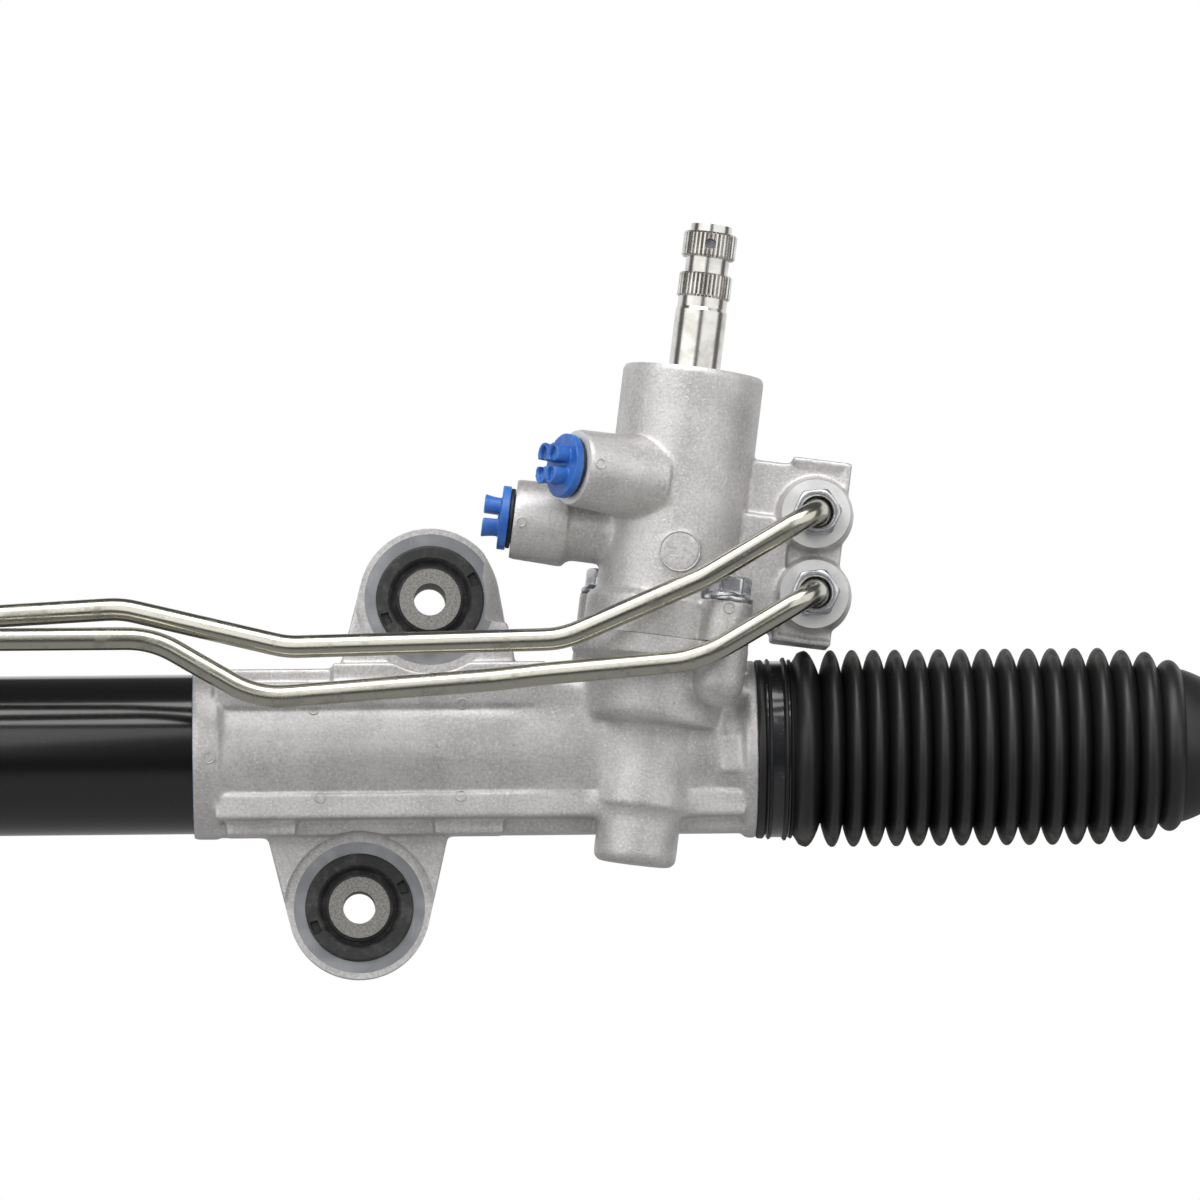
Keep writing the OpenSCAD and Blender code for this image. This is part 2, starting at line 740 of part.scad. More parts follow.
module cylinder_tube() color("black") {
    boss_r = 9;
    difference() {
        union() {
            at_rack() {
                bar(tube_left, tube_left + seat_length + 1, seat_r);
                bar(tube_left + seat_length, housing_left, tube_r);
                bar(housing_left - 1, housing_left + swage_length, swage_r);
            }
            for (p = tube_ports)
                at_tube_port(p[0], p[1]) cylinder(h = tube_r + port_boss_h, r = boss_r);
        }
        at_rack() {
            bar(tube_left - 1, housing_left - 6, tube_bore_r);
            bar(housing_left - 7, housing_left + swage_length + 1, swage_r - tube_wall + 0.5);
            stopper_wire();
        }
        for (p = tube_ports) at_tube_port(p[0], p[1]) {
            translate([0, 0, tube_r + port_boss_h - nut_thread_h - 1])
                cylinder(h = nut_thread_h + 2, r = nut_thread_r);
            cylinder(h = tube_r + port_boss_h, r = oil_way_r);
        }
    }
}

module mount_rubber(at) {
    at_rack() translate([at[0], 0, at[1]]) rotate([90, 0, 0]) difference() {
        translate([0, 0, -ear_back - rubber_proud])
            cylinder(h = ear_thickness + 2 * rubber_proud, d = bush_d);
        translate([0, 0, -rack_depth]) cylinder(h = sleeve_length, d = sleeve_d);
        for (z = [-ear_front + rubber_proud - rubber_groove_depth, -ear_back - rubber_proud - 1])
            translate([0, 0, z]) cylinder(h = rubber_groove_depth + 1, r = sleeve_d / 2 + rubber_groove);
        for (a = [25, 205]) rotate([0, 0, a])
            translate([bush_d / 2 - 1.2, -2, -ear_front + rubber_proud - 1.2]) cube([3, 4, 3]);
    }
}

module mount_sleeve(at) {
    at_rack() translate([at[0], 0, at[1]]) rotate([90, 0, 0])
        ring(-rack_depth, sleeve_length, sleeve_d / 2, sleeve_hole_d / 2);
}

module upper_mount_rubber() color("dimgray") mount_rubber(upper_mount_at);
module lower_mount_rubber() color("dimgray") mount_rubber(lower_mount_at);
module upper_mount_sleeve() color("slategray") mount_sleeve(upper_mount_at);
module lower_mount_sleeve() color("slategray") mount_sleeve(lower_mount_at);

// Rubber ring with a flat back that rests on the vehicle's cross member
module tube_mount_cushion() color("dimgray") at_rack() difference() {
    outer = tube_r + cushion_wall;
    x0 = cushion_x - cushion_width / 2;
    union() {
        bar(x0, x0 + cushion_width, outer);
        translate([x0, 0, -outer]) cube([cushion_width, rack_depth, 2 * outer]);
        for (x = [x0, x0 + cushion_width - 4]) bar(x, x + 4, outer + 3);
    }
    bar(x0 - 1, x0 + cushion_width + 1, tube_r);
    translate([x0 - 1, rack_depth, -60]) cube([cushion_width + 2, 40, 120]);
}

// Pipe corners, placed by hand along the housing
upper_run = [
    [-130, -57.5, 91.6], [-74.3, -60, 94.4], [-22.2, -66, 81.5], [64.6, -73, 82.9],
    [109.4, -78, 101.7],
];
lower_run = [
    [-64.5, -67, 84.5], [-31.5, -68, 65.2], [41.9, -72, 70.2], [57.7, -73.5, 71.8],
    [102.3, -78, 75.3], [112.3, -79.2, 78.4],
];
// Pipe line in front of the rack axis at the tower nuts
nut_run = nut_face + nut_length + nut_bend + 2;

module transfer_pipe(x, turn, run, nut_t, nut_s) {
    seat = 4;
    top = len(run) + 1;
    points = concat(
        [tube_port_point(x, turn, tube_r + port_boss_h - seat), tube_port_point(x, turn, pipe_line_r)],
        run,
        [tower_point(nut_t, -nut_run, nut_s), tower_point(nut_t, -nut_face + seat, nut_s)]
    );
    radii = [for (i = [0:len(points) - 1]) i == 1 || i == top + 1 ? nut_bend : pipe_bend];
    bent_pipe(points, radii);
}

module upper_transfer_pipe() color("gainsboro")
    transfer_pipe(far_port_x, far_port_turn, upper_run, upper_nut_t, upper_nut_s);
module lower_transfer_pipe() color("gainsboro")
    transfer_pipe(near_port_x, near_port_turn, lower_run, lower_nut_t, lower_nut_s);

// Flare nut round its pipe: thread inside the port, hexagon outside
module pipe_nut() {
    flare_gap = 1.4;
    difference() {
        union() {
            translate([0, 0, -nut_thread_h]) cylinder(h = nut_thread_h + 1, r = nut_thread_r);
            hex(nut_length, nut_af);
        }
        translate([0, 0, -nut_thread_h - 1]) cylinder(h = nut_length + nut_thread_h + 2, r = pipe_r);
        translate([0, 0, 2]) cylinder(h = nut_length, r = pipe_r + flare_gap);
    }
}

module valve_pipe_nuts() color("gainsboro") at_tower()
    for (n = tower_nuts)
        translate([n[0], -nut_face, n[1]]) rotate([90, 0, 0]) rotate([0, 0, 12]) pipe_nut();

module cylinder_pipe_nuts() color("gainsboro")
    for (p = tube_ports) at_tube_port(p[0], p[1]) translate([0, 0, tube_r + port_boss_h]) pipe_nut();

module input_shaft_seal() color("dimgray") at_tower() difference() {
    ring(shaft_seal_s, shaft_seal_w, upper_bore_r, shaft_r + fit);
    ring(shaft_seal_s + shaft_seal_w - 2, 3, upper_bore_r - 2.5, shaft_r + 1.6);
}

module seal_snap_ring() color("gray") at_tower() difference() {
    gap = 3;
    ring(snap_ring_s, snap_ring_h, snap_ring_r, upper_bore_r - 1.6);
    translate([0, -snap_ring_r - 1, snap_ring_s - 1]) cube([gap, 4, snap_ring_h + 2]);
}

module input_shaft_bearing() color("lightsteelblue") at_tower()
    needle_bearing(upper_bearing_s, upper_bearing_w, shaft_r, upper_bore_r, 16);

// Drawn cup with a ring of needles on a journal
module needle_bearing(s, w, journal, outer, count) {
    cup = 1;
    needle_r = (outer - cup - journal) / 2 - 0.07;
    ring(s, w, outer, outer - cup);
    for (i = [0:count - 1]) rotate([0, 0, i * 360 / count])
        translate([(outer - cup + journal) / 2, 0, s + 1]) cylinder(h = w - 2, r = needle_r);
}

module pinion_needle_bearing() color("lightsteelblue") at_tower()
    needle_bearing(journal_bottom, needle_w, journal_r, needle_outer_r, 14);

module pinion_ball_bearing() color("lightsteelblue") at_tower() {
    inner = pinion_shaft_r + fit;
    centre = (inner + bearing_bore_r) / 2;
    ball = 2.6;
    mid = bearing_s + bearing_w / 2;
    difference() {
        union() {
            ring(bearing_s, bearing_w, bearing_bore_r, centre + ball * 0.55);
            ring(bearing_s, bearing_w, centre - ball * 0.55, inner);
        }
        wire_ring(mid, centre, ball + 0.05);
    }
    for (i = [0:8]) rotate([0, 0, i * 40]) translate([centre, 0, mid]) sphere(r = ball);
}

module pinion_oil_seal() color("dimgray") at_tower() difference() {
    ring(oil_seal_s, seam_s - oil_seal_s, bearing_bore_r, pinion_shaft_r + fit);
    ring(seam_s - 3, 4, bearing_bore_r - 3, pinion_shaft_r + 2);
}

// The yoke pushes on the back of the bar, through a pad
pad_w = 1.2;
yoke_back = rack_r + 13;
spring_h = 8;
plug_front = yoke_back + 1.5;

module yoke_axis() {
    at_rack() translate([pinion_x, 0, 0]) rotate([-90, 0, 0]) children();
}

module rack_yoke() color("silver") difference() {
    yoke_axis() difference() {
        translate([0, 0, 5]) cylinder(h = yoke_back - 5, r = yoke_bore_r - fit);
        translate([0, 0, yoke_back - 5]) cylinder(h = 6, r = 8);
    }
    at_rack() bar(pinion_x - 20, pinion_x + 20, rack_r + fit + pad_w);
}

module yoke_pad() color("burlywood") intersection() {
    at_rack() ring_x(pinion_x - 20, pinion_x + 20, rack_r + fit + pad_w, rack_r + fit);
    yoke_axis() translate([0, 0, 5]) cylinder(h = 20, r = yoke_bore_r - fit - 0.5);
}

// Coil spring shown as its closed turns, stacked end to end
module yoke_spring() color("gray") yoke_axis() {
    wire = 1.1;
    turns = 4;
    step = (plug_front + 2.9 - yoke_back + 5 - 2 * wire) / (turns - 1);
    for (i = [0:turns - 1]) wire_ring(yoke_back - 5 + wire + i * step, 6, wire);
}

module yoke_adjuster_plug() color("silver") yoke_axis() difference() {
    translate([0, 0, plug_front]) cylinder(h = yoke_boss_reach + 5 - plug_front, r = yoke_bore_r);
    translate([0, 0, plug_front - 1]) cylinder(h = 4, r = 8);
    translate([0, 0, yoke_boss_reach + 1]) cylinder(h = 6, d = 17 / cos(30), $fn = 6);
}

module yoke_locknut() color("silver") yoke_axis() difference() {
    translate([0, 0, yoke_boss_reach]) hex(6, 41);
    translate([0, 0, yoke_boss_reach - 1]) cylinder(h = 8, r = yoke_bore_r);
}

module inner_rack_seal() color("dimgray") at_rack() difference() {
    x1 = inner_seal_x - inner_retainer_w;
    ring_x(x1 - inner_seal_w, x1, tube_bore_r, rack_r + fit);
    ring_x(x1 - inner_seal_w - 1, x1 - inner_seal_w + 3, tube_bore_r - 3, rack_r + 2.5);
}

module inner_seal_retainer() color("lightsteelblue") at_rack()
    ring_x(inner_seal_x - inner_retainer_w, inner_seal_x, tube_bore_r, rack_r + 0.4);

module end_rack_seal() color("dimgray") at_rack() difference() {
    ring_x(end_seal_x, end_seal_x + end_seal_w, tube_bore_r, rack_r + fit);
    ring_x(end_seal_x + end_seal_w - 3, end_seal_x + end_seal_w + 1, tube_bore_r - 3, rack_r + 2.5);
}

module rack_bush() color("burlywood") at_rack()
    ring_x(rack_bush_x, end_seal_x, tube_bore_r, rack_r + fit);

module cylinder_end_stopper() color("silver") at_rack() difference() {
    ring_x(tube_left, rack_bush_x, tube_bore_r, rack_r + 1);
    stopper_wire();
}

module stopper_wire_ring() color("gray") at_rack() stopper_wire();

// Outer line of one bellows as [x, radius] points: lip, first crest, full crests, cone and cuff
function crest_radius(i) = (crest_d - (i == crests - 1 ? 8.2 : i == crests - 2 ? 3.2 : 0)) / 2;
valley_r = valley_d / 2;
function boot_line() = concat(
    [
        [housing_right, boot_lip_d / 2 - 0.8], [housing_right + 1, boot_lip_d / 2],
        [band_x, boot_lip_d / 2], [band_x, seat_r + 2.2], [band_x + band_w, seat_r + 2.2],
        [band_x + band_w, boot_lip_d / 2 - 0.6], [housing_right + 11, boot_lip_d / 2 - 0.6],
        [first_crest_x - 1.5, crest_d / 2 - 1.4], [first_crest_x, crest_d / 2 - 0.6],
        [first_crest_x + 1.2, crest_d / 2 - 1.4], [crest_x - crest_pitch / 2 - 0.6, valley_r + 0.4],
        [crest_x - crest_pitch / 2, valley_r],
    ],
    [for (i = [0:crests - 1]) for (p = [[-0.62, -1.7], [-0.36, -0.5], [0, 0], [0.36, -0.5],
        [0.62, -1.7], [1, 0]])
        let (x = crest_x + i * crest_pitch, half = crest_pitch / 2)
        p[0] == 1 ? [x + half, i == crests - 1 ? valley_r - 3 : valley_r]
            : [x + p[0] * half * 0.8, crest_radius(i) + p[1]]],
    [
        [cuff_x - 2, cuff_r + 1.4], [cuff_x, cuff_r], [cuff_x + cuff_length, cuff_r],
    ]
);
function boot_inside() = [
    [cuff_x + cuff_length, rod_r + 0.1], [cuff_x - 1, rod_r + 0.1], [cuff_x - 4, cuff_r],
    [last_crest_x + crest_pitch / 2, valley_r - 3 - boot_wall * 1.6],
    [last_crest_x - crest_pitch / 2, valley_r - boot_wall],
    [crest_x - crest_pitch / 2, valley_r - boot_wall],
    [seat_end + 0.3, valley_r - boot_wall], [seat_end + 0.3, boot_bore_r],
    [housing_right, boot_bore_r],
];

module boot() {
    at_rack() turned(concat(boot_line(), boot_inside()));
}

module right_boot() color([0.1, 0.1, 0.1]) boot();
module left_boot() color([0.1, 0.1, 0.1]) left_end() boot();

module boot_band() {
    at_rack() ring_x(band_x, band_x + band_w, seat_r + 3.2, seat_r + 2.2);
}

module boot_bands() color("black") {
    boot_band();
    left_end() boot_band();
}

module boot_clip() {
    at_rack() ring_x(cuff_x + cuff_length / 2 - 2.5, cuff_x + cuff_length / 2 + 2.5,
        cuff_r + 0.8, cuff_r + fit);
}

module right_boot_clip() color("gray") boot_clip();
module left_boot_clip() color("gray") left_end() boot_clip();

// One tooth gap of the rack, drawn across the teeth
module rack_gap() {
    half = normal_pitch / 4 + backlash;
    slope = tan(pressure_angle);
    top = rack_tip + 6;
    below = rack_reference - rack_root;
    rotate([0, -tooth_slant, 0]) linear_extrude(height = 60, center = true)
        polygon([
            [-half + below * slope, -rack_root], [half - below * slope, -rack_root],
            [half + (top - rack_reference) * slope, -top], [-half - (top - rack_reference) * slope, -top],
        ]);
}

teeth_each_side = floor((stroke + tooth_margin) / tooth_pitch);

module rack_bar() color("lightsteelblue") at_rack() difference() {
    union() {
        bar(rack_left + 1, rack_right - 1, rack_r);
        bar(rack_left, rack_right, rack_r - 1);
    }
    // Flat along the teeth
    translate([pinion_x - stroke - tooth_margin, -rack_r - 1, -rack_r - 1])
        cube([2 * (stroke + tooth_margin), rack_r + 1 - rack_tip, 2 * rack_r + 2]);
    for (i = [-teeth_each_side:teeth_each_side]) translate([pinion_x + i * tooth_pitch, 0, 0]) rack_gap();
    bar(rack_right - stud_length - 4, rack_right + 1, stud_r);
    bar(rack_left - 1, rack_left + stud_length + 4, stud_r);
}

module piston() color("gray") at_rack() difference() {
    ring_x(piston_x - piston_width / 2, piston_x + piston_width / 2, tube_bore_r - 0.5, rack_r);
    ring_x(piston_x - 3, piston_x + 3, tube_bore_r + 1, tube_bore_r - 3);
}

module piston_ring() color("dimgray") at_rack()
    ring_x(piston_x - 3, piston_x + 3, tube_bore_r - fit, tube_bore_r - 3);

// Swivel point of a tie rod, with X along the rod
module at_ball() {
    at_rack() translate([ball_x, 0, 0]) children();
}

// Sphere with its poles along the rod, so that the mouth cuts it along a circle of latitude
module ball(r) {
    rotate([0, 90, 0]) sphere(r = r);
}

module mouth(reach) {
    rotate([0, 90, 0]) cylinder(h = reach, r1 = 0, r2 = reach * tan(mouth_angle));
}

module rack_end_socket() {
    cavity = ball_seat_r + fit;
    front = ball_r + 0.5;
    at_ball() difference() {
        union() {
            bar(-ball_offset - stud_length, 0, stud_r);
            turned([
                [-ball_offset + washer_w, 0], [-ball_offset + washer_w, socket_d / 2 - 1],
                [-ball_offset + washer_w + 1, socket_d / 2], [6, socket_d / 2],
                [front, socket_d / 2 - 2.5], [front, 0],
            ]);
        }
        ball(cavity);
        mouth(front + 1);
        for (side = [-1, 1])
            translate([-ball_offset, side > 0 ? socket_d / 2 - 1.5 : -socket_d / 2 - 8.5, -20])
                cube([12, 10, 40]);
    }
}

module right_rack_end_socket() color("gray") rack_end_socket();
module left_rack_end_socket() color("gray") left_end() rack_end_socket();

module lock_washer() {
    at_ball() ring_x(-ball_offset, -ball_offset + washer_w, socket_d / 2 - 2, stud_r);
}

module lock_washers() color("gainsboro") {
    lock_washer();
    left_end() lock_washer();
}

module ball_seat() {
    at_ball() difference() {
        ball(ball_seat_r);
        ball(ball_r + fit);
        mouth(ball_seat_r + 1);
    }
}

module right_ball_seat() color("ivory") ball_seat();
module left_ball_seat() color("ivory") left_end() ball_seat();

module tie_rod() {
    flat = 12;
    tip_chamfer = 1.2;
    thread_r = thread_d / 2;
    at_ball() {
        ball(ball_r);
        difference() {
            turned([
                [0, 0], [0, neck_d / 2], [ball_r + 12, neck_d / 2], [ball_r + 18, rod_r],
                [rod_length - thread_length - 1, rod_r], [rod_length - thread_length, thread_r - 0.3],
                [nut_end_x, thread_r - 0.3], [nut_end_x + 0.3, thread_r],
                [rod_length - tip_chamfer, thread_r], [rod_length, thread_r - tip_chamfer],
                [rod_length, 0],
            ]);
            for (side = [-1, 1])
                translate([rod_length - thread_length - 24, side > 0 ? flat / 2 : -flat / 2 - 5, -10])
                    cube([16, 5, 20]);
        }
    }
}

module right_tie_rod() color("gray") tie_rod();
module left_tie_rod() color("gray") left_end() tie_rod();

module jam_nut() {
    at_ball() translate([nut_end_x - jam_nut_h, 0, 0]) rotate([0, 90, 0]) difference() {
        hex(jam_nut_h, jam_nut_af);
        translate([0, 0, -1]) cylinder(h = 12, d = thread_d);
    }
}

module right_jam_nut() color("goldenrod") jam_nut();
module left_jam_nut() color("goldenrod") left_end() jam_nut();

// Involute flank point at radius r: its angle from the tooth's middle, in degrees
function involute(a) = tan(a) * 180 / PI - a;
function flank_angle(r) = half_tooth + involute(transverse_angle) - involute(acos(min(1, base_r / r)));
function tooth_points(middle) = concat(
    [[root_r, middle - half_tooth - involute(transverse_angle) - 2]],
    [for (i = [0:flank_steps]) let (r = base_r + (tip_r - base_r) * i / flank_steps)
        [r, middle - flank_angle(r)]],
    [for (i = [flank_steps:-1:0]) let (r = base_r + (tip_r - base_r) * i / flank_steps)
        [r, middle + flank_angle(r)]],
    [[root_r, middle + half_tooth + involute(transverse_angle) + 2]]
);
pinion_outline = [for (i = [0:pinion_teeth - 1]) for (p = tooth_points(90 + i * 360 / pinion_teeth))
    [p[0] * cos(p[1]), p[0] * sin(p[1])]];
pinion_shaft_r = 8.5;
run_out = 1.3;
pinion_top = sleeve_valve_s;
bar_bore = 24;
groove_r = 6.95;
tip_face_r = 6.6;

module pinion() color("lightsteelblue") at_tower() {
    twist = -pinion_length * tan(helix_angle) / pitch_r * 180 / PI;
    rotate([0, 0, twist / 2]) linear_extrude(height = pinion_length, center = true, twist = twist,
        slices = 14) polygon(pinion_outline);
    translate([0, 0, journal_bottom + 0.5]) cylinder(h = needle_w + loose, r = journal_r - 0.02);
    translate([0, 0, journal_s - 0.6]) cylinder(h = 0.6 + run_out, r = journal_r + 1);
    difference() {
        union() {
            translate([0, 0, pinion_length / 2 - run_out])
                cylinder(h = pinion_top - pinion_length / 2 + run_out, r = pinion_shaft_r);
            translate([0, 0, seam_s + 3]) cylinder(h = pinion_top - seam_s - 3, r = 13);
        }
        translate([0, 0, bar_bore]) cylinder(h = pinion_top, d = torsion_bar_d + 2 * fit);
    }
}

module valve_sleeve() color("lightsteelblue") at_tower() difference() {
    ring(sleeve_valve_s, sleeve_valve_h, valve_bore_r - 2 * fit, spool_r + fit);
    for (i = [0:3]) translate([0, 0, sleeve_valve_s + 4 + i * 13])
        ring(0, 2.5, valve_bore_r + 1, valve_bore_r - 1.8);
    for (i = [0:2]) translate([0, 0, sleeve_valve_s + 11.7 + i * 13]) {
        ring(0, 3.2, valve_bore_r + 1, valve_bore_r - 1.4);
        for (a = [0:60:300]) rotate([0, 90, a + 20 * i]) translate([-1.6, 0, 0]) cylinder(h = 20, r = 1.2);
    }
}

module valve_seal_rings() color("burlywood") at_tower()
    for (i = [0:3]) ring(sleeve_valve_s + 4 + i * 13, 2.5, valve_bore_r - fit, valve_bore_r - 1.8);

// Splined stretch of the shaft, cut by a ring of V grooves
module splined(s0, s1) {
    depth = 1;
    difference() {
        union() {
            translate([0, 0, s0 + 0.6]) cylinder(h = s1 - s0 - 1.2, r = spline_r);
            translate([0, 0, s0]) cylinder(h = 0.6, r1 = spline_r - 0.6, r2 = spline_r);
            translate([0, 0, s1 - 0.6]) cylinder(h = 0.6, r1 = spline_r, r2 = spline_r - 0.6);
        }
        for (i = [0:spline_teeth - 1]) rotate([0, 0, i * 360 / spline_teeth])
            translate([0, 0, s0 - 1]) linear_extrude(height = s1 - s0 + 2)
                polygon([[spline_r - depth, 0], [spline_r + 1, 0.85], [spline_r + 1, -0.85]]);
    }
}

module cross_pin_hole() {
    translate([0, 0, cross_pin_s]) rotate([90, 0, 0])
        cylinder(h = 2 * spline_d, d = cross_pin_d, center = true);
}

module input_shaft() color("lightsteelblue") at_tower() difference() {
    neck = shaft_top - 26.7;
    union() {
        translate([0, 0, sleeve_valve_s + 1]) cylinder(h = sleeve_valve_h, r = spool_r);
        translate([0, 0, sleeve_valve_s + 1]) cylinder(h = neck - sleeve_valve_s - 2, r = shaft_r);
        translate([0, 0, neck - 1]) cylinder(h = 1, r1 = shaft_r, r2 = shaft_r - 0.4);
        translate([0, 0, neck]) cylinder(h = 4, r = shaft_r - 0.4);
        splined(neck + 3.2, neck + 11);
        translate([0, 0, neck + 10.4]) cylinder(h = 6.3, r = groove_r);
        splined(neck + 16.1, neck + 24.2);
        translate([0, 0, neck + 23.6]) cylinder(h = shaft_top - neck - 23.6, r = tip_face_r);
    }
    translate([0, 0, sleeve_valve_s]) cylinder(h = shaft_top, d = torsion_bar_d + 2 * fit);
    for (a = [0:60:300]) rotate([0, 0, a]) translate([spool_r + 0.4, 0, sleeve_valve_s + 8])
        cylinder(h = sleeve_valve_h - 14, r = 1.6);
    cross_pin_hole();
}

module torsion_bar() color("slategray") at_tower() difference() {
    end_length = 14;
    union() {
        translate([0, 0, bar_bore]) cylinder(h = end_length, d = torsion_bar_d);
        translate([0, 0, bar_bore]) cylinder(h = shaft_top - 2 - bar_bore, d = torsion_waist_d);
        translate([0, 0, shaft_top - 1 - end_length]) cylinder(h = end_length, d = torsion_bar_d);
    }
    cross_pin_hole();
}

module torsion_bar_pin() color("gray") at_tower() translate([0, 0, cross_pin_s]) rotate([90, 0, 0])
    cylinder(h = 2 * spline_r - 3, d = cross_pin_d, center = true);

// Port plug: stem in the bore, flange, and a hub of four lobes, slotted to grip it by
module port_plug() {
    seat = plug_gap + plug_ring;
    stem = port_bore_depth - 3;
    lobe_r = 3.1;
    lobe_at = plug_hub_d / 2 - lobe_r;
    floor_h = 0.6;
    translate([0, 0, -stem]) cylinder(h = stem + seat + eps, r = port_bore_r - 2 * fit);
    translate([0, 0, seat]) cylinder(h = plug_flange_h, d = plug_flange_d);
    translate([0, 0, seat + plug_flange_h - eps]) difference() {
        union() {
            cylinder(h = plug_hub_h, r = lobe_at);
            for (a = [45:90:315]) rotate([0, 0, a]) translate([lobe_at, 0, 0])
                cylinder(h = plug_hub_h, r = lobe_r);
        }
        for (a = [45:90:315]) rotate([0, 0, a]) translate([lobe_at, 0, floor_h + 3])
            cylinder(h = plug_hub_h, r = lobe_r - 1.2);
        translate([-plug_slot / 2, -plug_hub_d, floor_h])
            cube([plug_slot, 2 * plug_hub_d, plug_hub_h]);
    }
}

module plug_o_ring() {
    difference() {
        translate([0, 0, plug_gap]) cylinder(h = plug_ring, r = plug_flange_d / 2 - 0.6);
        cylinder(h = 5, r = port_bore_r - 2 * fit);
    }
}

module upper_port_plug() color("royalblue") at_upper_port() port_plug();
module lower_port_plug() color("royalblue") at_lower_port() port_plug();
module upper_plug_o_ring() color("black") at_upper_port() plug_o_ring();
module lower_plug_o_ring() color("black") at_lower_port() plug_o_ring();

gear_housing();
valve_housing();
valve_housing_bolts();
valve_housing_o_ring();
cylinder_tube();
upper_mount_rubber();
lower_mount_rubber();
upper_mount_sleeve();
lower_mount_sleeve();
tube_mount_cushion();
upper_transfer_pipe();
lower_transfer_pipe();
valve_pipe_nuts();
cylinder_pipe_nuts();
input_shaft_seal();
seal_snap_ring();
input_shaft_bearing();
pinion_ball_bearing();
pinion_needle_bearing();
pinion_oil_seal();
rack_yoke();
yoke_pad();
yoke_spring();
yoke_adjuster_plug();
yoke_locknut();
inner_rack_seal();
inner_seal_retainer();
end_rack_seal();
rack_bush();
cylinder_end_stopper();
stopper_wire_ring();
right_boot();
left_boot();
boot_bands();
right_boot_clip();
left_boot_clip();
rack_bar();
piston();
piston_ring();
right_rack_end_socket();
left_rack_end_socket();
lock_washers();
right_ball_seat();
left_ball_seat();
right_tie_rod();
left_tie_rod();
right_jam_nut();
left_jam_nut();
pinion();
valve_sleeve();
valve_seal_rings();
input_shaft();
torsion_bar();
torsion_bar_pin();
upper_port_plug();
lower_port_plug();
upper_plug_o_ring();
lower_plug_o_ring();
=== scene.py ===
# Steering rack: camera, light, castings, pipes, bellows and every finish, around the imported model
import json
import math

import bmesh
import bpy
import numpy as np
from mathutils import Matrix, Vector
from mathutils.bvhtree import BVHTree


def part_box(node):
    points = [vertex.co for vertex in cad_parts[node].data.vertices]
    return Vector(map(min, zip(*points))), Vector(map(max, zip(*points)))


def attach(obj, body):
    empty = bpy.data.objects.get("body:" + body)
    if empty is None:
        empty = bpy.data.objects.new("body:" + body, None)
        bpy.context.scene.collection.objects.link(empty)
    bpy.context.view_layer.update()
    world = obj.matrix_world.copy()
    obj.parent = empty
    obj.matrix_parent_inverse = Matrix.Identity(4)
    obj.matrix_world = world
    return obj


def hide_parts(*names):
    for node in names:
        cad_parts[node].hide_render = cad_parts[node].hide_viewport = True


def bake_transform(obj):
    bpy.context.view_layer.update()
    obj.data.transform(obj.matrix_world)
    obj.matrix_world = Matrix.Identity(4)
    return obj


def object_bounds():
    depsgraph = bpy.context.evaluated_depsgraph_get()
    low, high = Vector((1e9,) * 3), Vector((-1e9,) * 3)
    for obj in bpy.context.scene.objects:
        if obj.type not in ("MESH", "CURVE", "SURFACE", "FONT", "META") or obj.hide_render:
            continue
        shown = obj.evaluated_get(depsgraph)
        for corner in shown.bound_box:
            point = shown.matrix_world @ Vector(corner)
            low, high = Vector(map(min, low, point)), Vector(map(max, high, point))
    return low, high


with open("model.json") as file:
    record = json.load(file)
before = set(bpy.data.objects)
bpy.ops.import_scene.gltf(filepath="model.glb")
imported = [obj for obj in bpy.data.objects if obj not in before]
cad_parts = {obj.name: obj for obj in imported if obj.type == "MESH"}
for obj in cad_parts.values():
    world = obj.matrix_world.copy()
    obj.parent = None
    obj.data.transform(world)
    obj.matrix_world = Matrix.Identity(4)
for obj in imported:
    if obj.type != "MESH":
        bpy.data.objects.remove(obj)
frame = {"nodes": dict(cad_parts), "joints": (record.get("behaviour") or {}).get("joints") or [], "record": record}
cadLow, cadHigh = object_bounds()
nodes = frame["nodes"]
record = frame["record"]
mm = 0.001
print("frame loaded:", len(nodes), "nodes")


# Places read from the frame

def middle(node):
    low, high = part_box(node)
    return (low + high) / 2


def joint(name):
    return next(j for j in frame["joints"] if j["name"] == name)


def mount(name):
    return next(m for m in record["mounts"] if m["name"] == name)


front = Vector((0, -1, 0))
rear = Vector((0, 1, 0))
sideways = Vector((1, 0, 0))
rackLine = Vector((0, middle("rack_bar").y, middle("rack_bar").z))
towerFoot = Vector(joint("pinion_turn")["pos_m"])
towerUp = Vector(joint("pinion_turn")["axis"]).normalized()
towerRight = Vector((towerUp.z, 0, -towerUp.x))
rackCentreX = (joint("right_tie_rod_swing")["pos_m"][0] + joint("left_tie_rod_swing")["pos_m"][0]) / 2


def inTower(right, back, up):  # millimetres from the pinion centre, in the tower's axes
    return towerFoot + (towerRight * right + rear * back + towerUp * up) * mm


def placed(name, data):
    made = bpy.data.objects.new(name, data)
    bpy.context.scene.collection.objects.link(made)
    return made


# Camera: the photograph's frame, seen from the place where the sleeves and bellows show the right sides
shot = {
    "imageSize": 1200,
    "originPixel": (360, 908),
    "mmPerPixel": 0.32,
    "facing": (-5.73, -69.94),
    "distance": 2800,
    "roll": 0.6,
    "sensor": 36,
    "clip": (0.1, 100),
}


